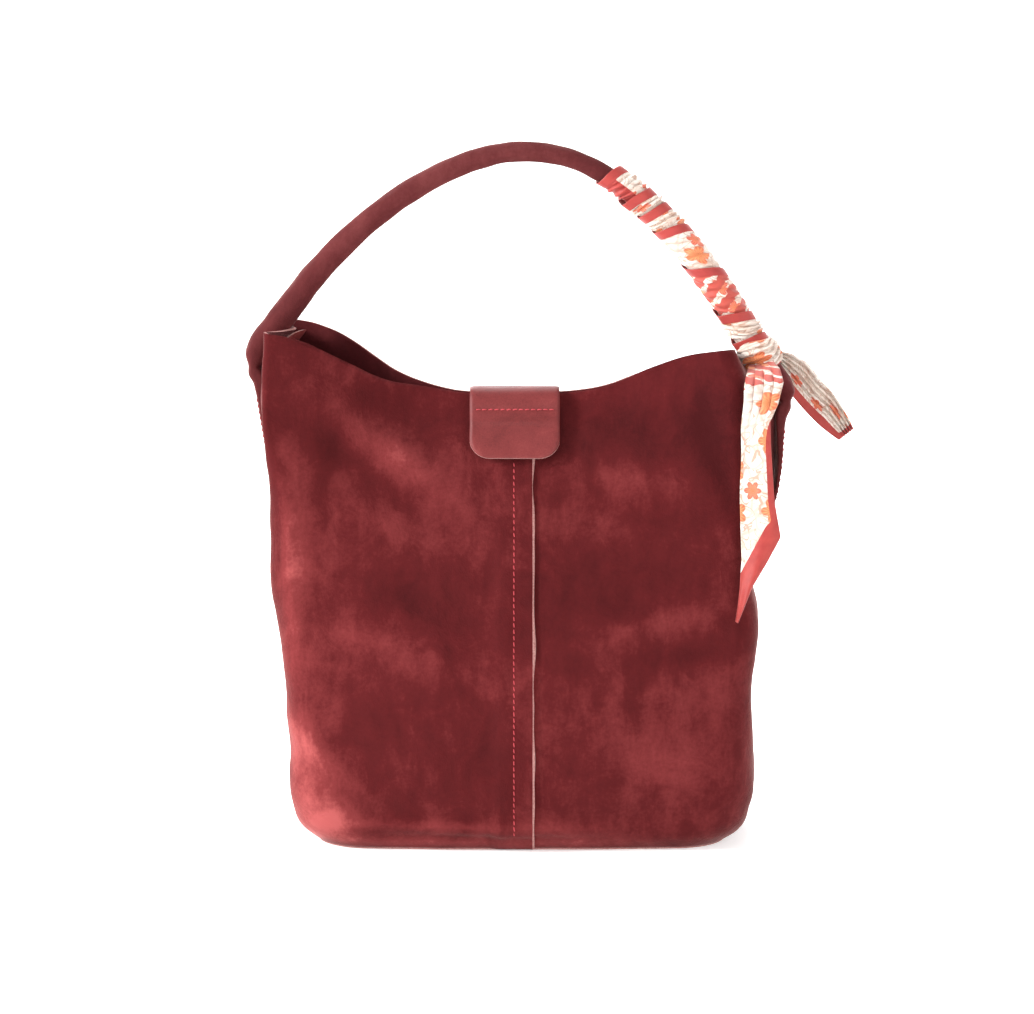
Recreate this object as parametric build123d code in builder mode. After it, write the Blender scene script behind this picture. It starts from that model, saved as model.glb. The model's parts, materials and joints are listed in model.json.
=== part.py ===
from build123d import *
import math
import os

# A slouchy suede bucket bag with a rolled shoulder handle and a small scarf tied round it.
# Millimetres, +Z up, -Y is the front, and the origin is the middle of the base on the table.

os.makedirs("parts", exist_ok=True)

# ---------------------------------------------------------------- driving dimensions
SUEDE = 1.8  # thickness of the body leather
FIT = 0.05  # air left between two leathers that lie on each other
BASE_TOP = SUEDE + FIT  # the walls stand on the base panel
BODY_REACH = 300.0  # further than any point of the body from the middle
LOFT_TOP = 365.0  # the body loft ends above the highest rim corner

LAP_EDGE_X = 10.5  # cut edge of the left panel, where it laps over the right one
UNDERLAP_EDGE_X = -12.0  # hidden edge of the right panel below the lap
LAP_ROOT_X = -20.0  # where the left panel steps up onto the lap
LAP_STEP_GAP = 0.3  # air between the step in the left panel and the hidden edge
LAP_OUTER = FIT + SUEDE
SEAM_STITCH_X = -3.5  # row of stitches through the lap
SEAM_TOP = 262.0
SEAM_BOTTOM = 14.0

STITCH_PITCH = 4.2
STITCH_LENGTH = 2.9
STITCH_WIDTH = 0.8
STITCH_PROUD = 0.4
STITCH_INSET = 3.5  # from the edge of a leather tab to its stitches
THREAD_GAP = 0.02

LEFT_HINGE = (-184.5, 327.0)  # X, Z of the crease at the foot of the handle, left
RIGHT_HINGE = (181.0, 305.0)  # and right
TUBE_RADIUS = 7.0
CORE_RADIUS = 5.0
KNUCKLE_RADIUS = 8.0  # rounded foot of the rolled handle, centred on its crease
HANDLE_POINTS = [LEFT_HINGE, (-149, 386.5), (-85, 448), (5, 486), (69, 459.5), (130, 394.5), RIGHT_HINGE]
HANDLE_TAB_WIDTH = 30.0
HANDLE_TAB_THICKNESS = 3.0
HANDLE_TAB_CORNER = 6.0
LEFT_TAB_TOP = (-184.5, 318.0)
LEFT_TAB_BOTTOM = (-172.6, 244.0)
RIGHT_TAB_TOP = (178.5, 296.0)
RIGHT_TAB_BOTTOM = (170.2, 222.0)
INNER_PATCH_START = 110.0  # the patches lie further from the middle than this
INNER_PATCH_WIDTH = 24.0
INNER_PATCH_BOTTOM = 236.0
INNER_PATCH_TOP = {-1: 351.0, 1: 334.0}

TAB_WIDTH = 62.0
TAB_THICKNESS = 2.2
LINING_THICKNESS = 1.2
TAB_CORNER = 14.0
TAB_MIDDLE_X = -3.0
# The tab turns on its fold at Y 10.5, Z 312.4, between the ends of these two lines in Y and Z.
TAB_LINE = [(8.9, 312.4), (-12.5, 312.4), (-19.0, 302.0), (-37.3, 264.5)]
TAB_LINE_RADII = [6.0, 20.0]
TAB_BOTTOM = 264.0
LINING_LINE = [(-21.7, 296.5), (-36.0, 267.2)]
LINING_BOTTOM = 268.0
LINING_MARGIN = 5.0  # the lining stops short of the tab's edges
LINING_CORNER = 11.0
ANCHOR_LINE = [(11.6, 310.0), (14.6, 304.4), (18.2, 297.0), (33.6, 264.5)]
ANCHOR_LINE_RADII = [5.0, 20.0]
ANCHOR_BOTTOM = 262.0
TAB_STITCH_Z = 298.0
ANCHOR_STITCH_Z = 285.0

SNAP_RADIUS = 9.0
SNAP_SOCKET_HEIGHT = 1.6
SNAP_STUD_HEIGHT = 1.5
SNAP_WASHER_HEIGHT = 0.8
SNAP_Z = 281.0  # height of the magnetic snap on the front
SNAP_PATCH_RADIUS = 17.0
SNAP_SURFACE_Y = -22.5  # Y of the lap surface at the snap
SNAP_REACH = 12.0  # the discs are cut from the body's skins this far around that point

WRAP_RADIUS = 9.0
WRAP_START_X = 57.0
WRAP_END_X = 166.0
KNOT_CENTRE = (170.0, 336.0)  # X, Z
KNOT_HALF = (10.5, 10.5)
KNOT_FRONT_Y = -26.0
KNOT_BACK_Y = 14.0
KNOT_ROUNDING = 6.0
TAIL_PLY = 2.4  # a few gathered layers of thin cloth
TAIL_NECK_LINE = [(-18.0, 329.0), (-26.0, 323.0), (-45.0, 306.0)]  # Y, Z, knot to the tail's fold
TAIL_NECK_RADIUS = 8.0
TAIL_NECK_OUTLINE = [(164, 300), (178, 300), (177, 332), (165, 332)]  # X, Z
TAIL_LINE = [(-46.8, 302.5), (-54.5, 284.0), (-58.0, 245.0), (-62.0, 200.0), (-73.0, 149.0)]
TAIL_LINE_RADII = [20.0, 60.0, 60.0]
TAIL_OUTLINE = [(163, 306), (178, 306), (181, 250), (182, 213), (168, 182), (154, 149), (153, 151),
                (157, 205), (159, 280)]
SIDE_TAIL_Y = (9.6, 12.4)
SIDE_TAIL_OUTLINE = [(181, 341), (190, 337), (205, 326), (222, 308), (234, 283), (223, 276),
                     (206, 293), (192, 309), (184, 322)]


# ---------------------------------------------------------------- body shape
class Ring:
    """One level of the body: its corners, the middles of its four faces and its corner radius."""

    def __init__(self, z, left, right, corner_y, middle_y, left_mid, right_mid, corner_radius):
        self.z = z
        self.left = left
        self.right = right
        self.corner_y = corner_y
        self.middle_y = middle_y
        self.left_mid = left_mid
        self.right_mid = right_mid
        self.corner_radius = corner_radius


RINGS = [
    Ring(0, -138, 142, 58, 63, -141, 145, 38),
    Ring(9, -148, 152, 67, 73, -151, 155, 38),
    Ring(28, -155.5, 159, 73, 79, -158.5, 163.5, 34),
    Ring(70, -155.5, 160.5, 73, 82, -158.5, 164.5, 28),
    Ring(120, -160, 158.5, 68, 79, -163, 162, 24),
    Ring(153, -165, 162, 63, 72, -167, 168.5, 20),
    Ring(185, -170, 157, 59, 62, -168, 162, 17),
    Ring(222, -172, 156, 55, 47, -168.5, 168, 14),
    Ring(262, -174, 156, 52, 30, -173, 173, 12),
    Ring(300, -177, 155, 48, 12, -178.5, 171, 10),
    Ring(330, -178, 154, 45, 6.5, -167, 148, 8),
    Ring(LOFT_TOP, -179, 152, 43, 5.5, -146, 122, 8),
]
MIDDLE_X = 55.0  # half width of the pinched middle of the front and back
MIDDLE_RADIUS = 60.0
SIDE_RADIUS = 12.0


def ring_corners(ring):
    """The ten corners of a level, anticlockwise, with the fillet radius of each."""
    corners = [
        (ring.left, -ring.corner_y, ring.corner_radius),
        (-MIDDLE_X, -ring.middle_y, MIDDLE_RADIUS),
        (MIDDLE_X, -ring.middle_y, MIDDLE_RADIUS),
        (ring.right, -ring.corner_y, ring.corner_radius),
        (ring.right_mid, 0, SIDE_RADIUS),
        (ring.right, ring.corner_y, ring.corner_radius),
        (MIDDLE_X, ring.middle_y, MIDDLE_RADIUS),
        (-MIDDLE_X, ring.middle_y, MIDDLE_RADIUS),
        (ring.left, ring.corner_y, ring.corner_radius),
        (ring.left_mid, 0, SIDE_RADIUS),
    ]
    return corners


def grown(corners, amount):
    """Move every side of an anticlockwise outline outwards by an amount."""
    count = len(corners)
    result = []
    for i in range(count):
        before = Vector(*corners[i - 1][:2])
        here = Vector(*corners[i][:2])
        after = Vector(*corners[(i + 1) % count][:2])
        side_in = (here - before).normalized()
        side_out = (after - here).normalized()
        normal_in = Vector(side_in.Y, -side_in.X)
        normal_out = Vector(side_out.Y, -side_out.X)
        mitre = (normal_in + normal_out).normalized()
        shift = mitre * (amount / mitre.dot(normal_in))
        turn = side_in.X * side_out.Y - side_in.Y * side_out.X
        radius = corners[i][2] + (amount if turn > 0 else -amount)
        result.append((here.X + shift.X, here.Y + shift.Y, radius))
    return result


lofted = {}


def body_loft(grow):
    """The whole body as one solid, its walls moved out by grow."""
    if grow in lofted:
        return lofted[grow]
    with BuildPart() as body:
        for ring in RINGS:
            with BuildSketch(Plane.XY.offset(ring.z)):
                with BuildLine():
                    corners = grown(ring_corners(ring), grow)
                    points = [(x, y) for x, y, radius in corners]
                    radii = [radius for x, y, radius in corners]
                    FilletPolyline(*points, radius=radii, close=True)
                make_face()
        loft()
    lofted[grow] = body.part
    return body.part


# ---------------------------------------------------------------- rim line
FRONT_RIM = [(-260, 353.5), (-179, 353.5), (-150, 347), (-122, 329), (-94, 313), (-52, 312),
             (-36, 309.5), (30, 309.5), (57, 313.5), (85, 328), (113, 338.5), (152, 342.5), (260, 342.5)]
BACK_RIM = [(-260, 358), (-179, 358), (-150, 357), (-122, 354), (-104, 343), (-83, 327), (-52, 312),
            (-36, 309.5), (30, 309.5), (57, 312), (85, 320), (113, 329), (152, 334), (260, 334)]
RIM_REACH = 60.0  # the rim line is exact at this distance in front of and behind the middle
RIM_CEILING = 420.0

with BuildPart() as above_rim:
    for reach, rim in ((-RIM_REACH, FRONT_RIM), (RIM_REACH, BACK_RIM)):
        with BuildSketch(Plane.XZ.offset(-reach)):
            with BuildLine():
                Polyline(*rim)
                Polyline(rim[-1], (rim[-1][0], RIM_CEILING), (rim[0][0], RIM_CEILING), rim[0])
            make_face()
    loft(ruled=True)


def layer(inner_grow, outer_grow, window):
    """A skin of the body between two offsets, cut at the rim and kept inside a window solid."""
    with BuildPart() as skin:
        add(body_loft(outer_grow))
        add(window, mode=Mode.INTERSECT)
        add(body_loft(inner_grow), mode=Mode.SUBTRACT)
        add(above_rim.part, mode=Mode.SUBTRACT)
    return skin.part


def slab(low_x, high_x, low_z=BASE_TOP, high_z=RIM_CEILING):
    """A tall box between two X planes, used as a window on a layer."""
    with BuildPart() as box:
        with BuildSketch(Plane.XY.offset(low_z)):
            with Locations(((low_x + high_x) / 2, 0)):
                Rectangle(high_x - low_x, 2 * BODY_REACH)
        extrude(amount=high_z - low_z)
    return box.part


def finish(piece, name):
    """Label a finished piece and write it."""
    piece.label = name
    export_step(piece, f"parts/{name}.step")


# ---------------------------------------------------------------- body panels
with BuildPart() as left_panel:
    add(layer(-SUEDE, 0, slab(-BODY_REACH, UNDERLAP_EDGE_X - LAP_STEP_GAP)))
    add(layer(-SUEDE / 2, LAP_OUTER, slab(LAP_ROOT_X, UNDERLAP_EDGE_X - LAP_STEP_GAP)))
    add(layer(FIT, LAP_OUTER, slab(LAP_ROOT_X, LAP_EDGE_X)))
finish(left_panel.part, "left_panel")

with BuildPart() as right_panel:
    add(layer(-SUEDE, 0, slab(UNDERLAP_EDGE_X, BODY_REACH)))
finish(right_panel.part, "right_panel")

with BuildPart() as base_panel:
    add(body_loft(0))
    add(slab(-BODY_REACH, BODY_REACH, -1, SUEDE), mode=Mode.INTERSECT)
finish(base_panel.part, "base_panel")


# ---------------------------------------------------------------- thread
def dash_blocks(plane, spots, depth, turn=0):
    """Blocks the size of one stitch at each spot of a plane, reaching depth both ways."""
    with BuildPart() as dashes:
        with BuildSketch(plane):
            with Locations(*spots):
                SlotOverall(STITCH_LENGTH, STITCH_WIDTH, rotation=turn)
        extrude(amount=depth, both=True)
    return dashes.part


def row(start, end, steps):
    """Evenly spaced points from start to end."""
    first = Vector(*start)
    last = Vector(*end)
    return [tuple(first + (last - first) * (i / (steps - 1)))[:2] for i in range(steps)]


seam_steps = int((SEAM_TOP - SEAM_BOTTOM) / STITCH_PITCH)
seam_row = row((SEAM_STITCH_X, SEAM_BOTTOM), (SEAM_STITCH_X, SEAM_TOP), seam_steps)
seam_dashes = dash_blocks(Plane.XZ, seam_row, BODY_REACH, 90)
for name, middle in (("front_seam_stitches", -BODY_REACH), ("back_seam_stitches", BODY_REACH)):
    with BuildPart() as half_space:
        with Locations((0, middle, 0)):
            Box(4 * BODY_REACH, 2 * BODY_REACH, 4 * BODY_REACH)
    with BuildPart() as seam_stitches:
        window = slab(SEAM_STITCH_X - STITCH_WIDTH, SEAM_STITCH_X + STITCH_WIDTH)
        add(layer(LAP_OUTER + THREAD_GAP, LAP_OUTER + STITCH_PROUD, window))
        add(half_space.part, mode=Mode.INTERSECT)
        add(seam_dashes, mode=Mode.INTERSECT)
    finish(seam_stitches.part, name)


# ---------------------------------------------------------------- rolled handle
def tangent_radii(points):
    """The largest comfortable arc at each inner corner of a path of straight runs."""
    radii = []
    for i in range(1, len(points) - 1):
        before = Vector(*points[i]) - Vector(*points[i - 1])
        after = Vector(*points[i + 1]) - Vector(*points[i])
        half_turn = math.radians(before.get_angle(after)) / 2
        radii.append(0.45 * min(before.length, after.length) / math.tan(half_turn))
    return radii


handle_radii = tangent_radii(HANDLE_POINTS)
with BuildLine(Plane.XZ) as handle_path:
    FilletPolyline(*HANDLE_POINTS, radius=handle_radii)


def tube_along_handle(radius):
    """A round bar that follows the middle line of the handle."""
    with BuildPart() as tube:
        path = handle_path.line
        with BuildSketch(Plane(origin=path @ 0, z_dir=path % 0)):
            Circle(radius)
        sweep(path=path)
    return tube.part


hinge_points = [(LEFT_HINGE[0], 0, LEFT_HINGE[1]), (RIGHT_HINGE[0], 0, RIGHT_HINGE[1])]

with BuildPart() as handle_core:
    add(tube_along_handle(CORE_RADIUS))
finish(handle_core.part, "handle_core")

with BuildPart() as handle_cover:
    add(tube_along_handle(TUBE_RADIUS))
    with Locations(*hinge_points):
        Sphere(KNUCKLE_RADIUS)
    add(tube_along_handle(CORE_RADIUS + FIT), mode=Mode.SUBTRACT)
finish(handle_cover.part, "handle_cover")


# ---------------------------------------------------------------- flat ends of the handle
def handle_tab_plane(top, bottom, side):
    """The plane of a handle tab: X runs down the tab and Z points away from the bag."""
    down = Vector(bottom[0] - top[0], 0, bottom[1] - top[1]).normalized()
    outward = Vector(0, 1, 0).cross(down)
    if outward.X * side < 0:
        outward = -outward
    return Plane(origin=(top[0], 0, top[1]), x_dir=down, z_dir=outward)


for name, top, bottom, side in (("left", LEFT_TAB_TOP, LEFT_TAB_BOTTOM, -1),
                                ("right", RIGHT_TAB_TOP, RIGHT_TAB_BOTTOM, 1)):
    plane = handle_tab_plane(top, bottom, side)
    length = (Vector(*bottom) - Vector(*top)).length
    with BuildPart() as handle_tab:
        with BuildSketch(plane):
            with Locations((length / 2, 0)):
                RectangleRounded(length, HANDLE_TAB_WIDTH, HANDLE_TAB_CORNER)
        extrude(amount=HANDLE_TAB_THICKNESS / 2, both=True)
    finish(handle_tab.part, f"{name}_handle_tab")

    inset = HANDLE_TAB_WIDTH / 2 - STITCH_INSET
    low_end = length - STITCH_INSET
    steps = int((low_end - STITCH_INSET) / STITCH_PITCH)
    sides = row((STITCH_INSET, inset), (low_end - STITCH_PITCH, inset), steps)
    sides += row((STITCH_INSET, -inset), (low_end - STITCH_PITCH, -inset), steps)
    across = row((low_end, -inset + STITCH_PITCH), (low_end, inset - STITCH_PITCH), 5)
    face = plane.offset(HANDLE_TAB_THICKNESS / 2 + THREAD_GAP + STITCH_PROUD / 2)
    with BuildPart() as tab_thread:
        add(dash_blocks(face, sides, STITCH_PROUD / 2))
        add(dash_blocks(face, across, STITCH_PROUD / 2, 90))
    finish(tab_thread.part, f"{name}_handle_tab_stitches")

    low_x, high_x = sorted((side * INNER_PATCH_START, side * BODY_REACH))
    with BuildPart() as patch_window:
        with BuildSketch(Plane.YZ.offset(low_x)):
            with Locations((0, (INNER_PATCH_TOP[side] + INNER_PATCH_BOTTOM) / 2)):
                SlotOverall(INNER_PATCH_TOP[side] - INNER_PATCH_BOTTOM, INNER_PATCH_WIDTH, rotation=90)
        extrude(amount=high_x - low_x)
    with BuildPart() as inner_patch:
        add(layer(-2 * SUEDE - FIT, -SUEDE - FIT, patch_window.part))
    finish(inner_patch.part, f"{name}_inner_patch")


# ---------------------------------------------------------------- closing tab
def strip(line, radii, thickness, width, lowest, corner):
    """A leather strip that follows a line in Y and Z, with rounded corners at its lower end."""
    with BuildPart() as leather:
        with BuildSketch(Plane.YZ.offset(TAB_MIDDLE_X)):
            with BuildLine():
                if radii:
                    FilletPolyline(*line, radius=radii)
                else:
                    Polyline(*line)
            trace(line_width=thickness)
        extrude(amount=width / 2, both=True)
        with BuildSketch(Plane.XZ):
            with Locations((TAB_MIDDLE_X, lowest + 100)):
                RectangleRounded(width, 200, corner)
        extrude(amount=BODY_REACH, both=True, mode=Mode.INTERSECT)
    return leather.part


closure_tab = strip(TAB_LINE, TAB_LINE_RADII, TAB_THICKNESS, TAB_WIDTH, TAB_BOTTOM, TAB_CORNER)
finish(closure_tab, "closure_tab")

lining_width = TAB_WIDTH - 2 * LINING_MARGIN
lining_shift = TAB_THICKNESS / 2 + LINING_THICKNESS / 2 + FIT
fall = (Vector(*LINING_LINE[1]) - Vector(*LINING_LINE[0])).normalized()
inward = Vector(-fall.Y, fall.X)
lining_line = [tuple(Vector(*point) + inward * lining_shift)[:2] for point in LINING_LINE]
tab_lining = strip(lining_line, [], LINING_THICKNESS, lining_width, LINING_BOTTOM, LINING_CORNER)
finish(tab_lining, "tab_lining")

tab_anchor = strip(ANCHOR_LINE, ANCHOR_LINE_RADII, TAB_THICKNESS, TAB_WIDTH, ANCHOR_BOTTOM, TAB_CORNER)
finish(tab_anchor, "tab_anchor")


def tab_rows(line, thickness, z, outward):
    """A row of stitches across a strip at a height, on its outer face."""
    low, high = line[-1], line[-2]
    share = (z - low[1]) / (high[1] - low[1])
    middle_y = low[0] + share * (high[0] - low[0])
    along = Vector(0, high[0] - low[0], high[1] - low[1]).normalized()
    normal = Vector(1, 0, 0).cross(along)
    if normal.Y * outward < 0:
        normal = -normal
    face = Plane(origin=(TAB_MIDDLE_X, middle_y, z), x_dir=(1, 0, 0), z_dir=normal)
    face = face.offset(thickness / 2 + THREAD_GAP + STITCH_PROUD / 2)
    half = TAB_WIDTH / 2 - STITCH_INSET
    spots = row((-half, 0), (half, 0), int(2 * half / STITCH_PITCH))
    return dash_blocks(face, spots, STITCH_PROUD / 2)


tab_stitches = tab_rows(TAB_LINE, TAB_THICKNESS, TAB_STITCH_Z, -1)
finish(tab_stitches, "tab_stitches")
anchor_stitches = tab_rows(ANCHOR_LINE, TAB_THICKNESS, ANCHOR_STITCH_Z, 1)
finish(anchor_stitches, "tab_anchor_stitches")


# ---------------------------------------------------------------- magnetic snap under the tab
snap_normal = Vector(0, -inward.X, -inward.Y)


def round_window(radius):
    """A round bar through the front of the bag at the snap."""
    origin = (TAB_MIDDLE_X, SNAP_SURFACE_Y, SNAP_Z)
    with BuildPart() as bar:
        with BuildSketch(Plane(origin=origin, x_dir=(1, 0, 0), z_dir=snap_normal)):
            Circle(radius)
        extrude(amount=SNAP_REACH, both=True)
    return bar.part


snap_bar = round_window(SNAP_RADIUS)
patch_bar = round_window(SNAP_PATCH_RADIUS)
socket_base = LAP_OUTER + FIT
finish(layer(socket_base, socket_base + SNAP_SOCKET_HEIGHT, snap_bar), "snap_socket")
washer_face = -SUEDE - FIT
finish(layer(washer_face - SNAP_WASHER_HEIGHT, washer_face, snap_bar), "snap_washer")
patch_face = washer_face - SNAP_WASHER_HEIGHT - FIT
finish(layer(patch_face - LINING_THICKNESS, patch_face, patch_bar), "snap_cover_patch")

share = (SNAP_Z - LINING_LINE[1][1]) / (LINING_LINE[0][1] - LINING_LINE[1][1])
lining_y = LINING_LINE[1][0] + share * (LINING_LINE[0][0] - LINING_LINE[1][0])
stud_normal = Vector(0, inward.X, inward.Y)
stud_plane = Plane(origin=(TAB_MIDDLE_X, lining_y, SNAP_Z), x_dir=(1, 0, 0), z_dir=stud_normal)
with BuildPart() as snap_stud:
    with BuildSketch(stud_plane.offset(lining_shift + LINING_THICKNESS / 2 + FIT)):
        Circle(SNAP_RADIUS)
    extrude(amount=SNAP_STUD_HEIGHT)
finish(snap_stud.part, "snap_stud")


# ---------------------------------------------------------------- scarf tied round the handle
with BuildPart() as wrap_window:
    with BuildSketch(Plane.XY):
        with Locations(((WRAP_START_X + WRAP_END_X) / 2, 0)):
            Rectangle(WRAP_END_X - WRAP_START_X, 4 * WRAP_RADIUS)
    extrude(amount=2 * BODY_REACH)
with BuildPart() as scarf_wrap:
    add(tube_along_handle(WRAP_RADIUS))
    add(tube_along_handle(TUBE_RADIUS + FIT), mode=Mode.SUBTRACT)
    add(wrap_window.part, mode=Mode.INTERSECT)
finish(scarf_wrap.part, "scarf_wrap")


def cloth_strip(line, radii, outline):
    """Gathered cloth that follows a line in Y and Z and fills an outline in X and Z."""
    with BuildPart() as cloth:
        with BuildSketch(Plane.YZ):
            with BuildLine():
                FilletPolyline(*line, radius=radii)
            trace(line_width=TAIL_PLY)
        extrude(amount=BODY_REACH)
        with BuildSketch(Plane.XZ):
            with BuildLine():
                Polyline(*outline, close=True)
            make_face()
        extrude(amount=BODY_REACH, mode=Mode.INTERSECT)
    return cloth.part


with BuildPart() as scarf_knot:
    with BuildSketch(Plane.XZ.offset(-KNOT_BACK_Y)):
        with Locations(KNOT_CENTRE):
            Ellipse(*KNOT_HALF)
    extrude(amount=KNOT_BACK_Y - KNOT_FRONT_Y)
    fillet(scarf_knot.edges(), KNOT_ROUNDING)
    add(cloth_strip(TAIL_NECK_LINE, [TAIL_NECK_RADIUS], TAIL_NECK_OUTLINE))
    add(tube_along_handle(WRAP_RADIUS + FIT), mode=Mode.SUBTRACT)
finish(scarf_knot.part, "scarf_knot")

finish(cloth_strip(TAIL_LINE, TAIL_LINE_RADII, TAIL_OUTLINE), "scarf_front_tail")

with BuildPart() as scarf_side_tail:
    with BuildSketch(Plane.XZ.offset(-SIDE_TAIL_Y[1])):
        with BuildLine():
            Polyline(*SIDE_TAIL_OUTLINE, close=True)
        make_face()
    extrude(amount=SIDE_TAIL_Y[1] - SIDE_TAIL_Y[0])
finish(scarf_side_tail.part, "scarf_side_tail")
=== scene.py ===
import json
import math
from collections import namedtuple

import bmesh
import bpy
import numpy as np
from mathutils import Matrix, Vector, noise


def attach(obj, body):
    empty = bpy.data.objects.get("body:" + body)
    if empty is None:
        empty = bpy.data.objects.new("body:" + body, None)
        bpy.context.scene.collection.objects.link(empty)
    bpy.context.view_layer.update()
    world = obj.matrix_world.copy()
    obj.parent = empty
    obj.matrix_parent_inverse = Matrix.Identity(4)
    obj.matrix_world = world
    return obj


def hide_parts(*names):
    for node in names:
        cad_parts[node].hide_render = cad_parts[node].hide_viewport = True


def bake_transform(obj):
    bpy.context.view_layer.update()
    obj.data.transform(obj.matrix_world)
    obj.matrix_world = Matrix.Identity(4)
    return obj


# A slouchy suede bucket bag. Shapes are worked out in millimetres and written in metres.
MM = 0.001

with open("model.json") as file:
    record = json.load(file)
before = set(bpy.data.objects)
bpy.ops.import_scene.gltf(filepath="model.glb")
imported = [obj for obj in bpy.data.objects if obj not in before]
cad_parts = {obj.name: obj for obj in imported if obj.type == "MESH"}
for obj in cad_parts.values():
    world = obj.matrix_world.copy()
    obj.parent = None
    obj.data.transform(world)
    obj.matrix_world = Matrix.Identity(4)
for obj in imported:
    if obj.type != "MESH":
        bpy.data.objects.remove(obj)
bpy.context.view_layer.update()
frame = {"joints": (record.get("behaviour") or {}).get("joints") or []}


# ---------------------------------------------------------------- camera, light and floor
FLOOR_REACH = 3.0  # metres of flat floor round the bag, before it curves up
FLOOR_CURVE = 1.2
FLOOR_TOP = 3.0


def place_object(name, data):
    """An object in the scene for a mesh, a light or a camera."""
    placed = bpy.data.objects.new(name, data)
    bpy.context.collection.objects.link(placed)
    return placed


def make_camera():
    """A long lens, level with the upper half of the bag and tilted a little down."""
    elevation = math.radians(6.5)
    distance = 1.75
    target = Vector((-0.0014, 0, 0.229))
    data = bpy.data.cameras.new("camera")
    data.sensor_width = 36
    data.lens = 87
    camera = place_object("camera", data)
    camera.location = target + distance * Vector((0, -math.cos(elevation), math.sin(elevation)))
    camera.rotation_euler = (math.pi / 2 - elevation, 0, 0)
    bpy.context.scene.camera = camera


def area_light(name, place, aim, size, power):
    data = bpy.data.lights.new(name, "AREA")
    data.shape = "DISK"
    data.size = size
    data.energy = power
    light = place_object(name, data)
    light.location = place
    light.rotation_euler = (Vector(aim) - Vector(place)).to_track_quat("-Z", "Y").to_euler()


def make_studio():
    """A small key light on the left, a weak fill, a light behind and one for the white backdrop."""
    area_light("key_light", (-2.1, -0.8, 1.25), (0, 0, 0.2), 0.6, 74)
    area_light("fill_light", (1.3, -2.0, 0.9), (0, 0, 0.2), 1.2, 5)
    area_light("back_light", (-0.6, 1.7, 1.5), (0, 0, 0.3), 1.0, 24)
    area_light("backdrop_light", (0, 0.9, 2.6), (0, 3.0, 0.6), 1.6, 90)
    world = bpy.data.worlds.new("studio")
    bpy.context.scene.world = world
    world.use_nodes = True
    background = world.node_tree.nodes["Background"]
    background.inputs["Color"].default_value = (1, 1, 1, 1)
    background.inputs["Strength"].default_value = 0.43
    bpy.context.scene.view_settings.view_transform = "Standard"


def floor_material():
    """White paper that glows a little, so that it stays white in the shade."""
    n = Nodes("floor_paper")
    return n.finish((0.92, 0.915, 0.91), 0.9, Specular_IOR_Level=0.2, Emission_Color=(1, 1, 1, 1),
                    Emission_Strength=0.45)


def make_floor():
    """A wide pale disc that curves up all round."""
    mesh = bpy.data.meshes.new("floor")
    profile = [(radius, 0.0) for radius in (0.3, 0.8, 1.6, FLOOR_REACH)]
    steps = 12
    for i in range(1, steps + 1):
        turn = math.radians(90 * i / steps)
        profile.append((FLOOR_REACH + FLOOR_CURVE * math.sin(turn), FLOOR_CURVE * (1 - math.cos(turn))))
    profile.append((FLOOR_REACH + FLOOR_CURVE, FLOOR_TOP))
    turns = 64
    points = []
    for radius, z in profile:
        for j in range(turns):
            angle = 2 * math.pi * j / turns
            points.append((radius * math.cos(angle), radius * math.sin(angle), z))
    faces = [tuple(range(turns))] + tube_faces(len(profile), turns)
    mesh.from_pydata(points, [], faces)
    mesh.polygons.foreach_set("use_smooth", [True] * len(faces))
    mesh.materials.append(floor_material())
    place_object("floor", mesh)


# ---------------------------------------------------------------- node helpers
def is_socket(value):
    """Whether a value is the socket of a node, not a constant."""
    return hasattr(value, "links")


def with_alpha(colour):
    """A colour as a socket takes it."""
    return colour if is_socket(colour) else (*colour, 1)


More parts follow.
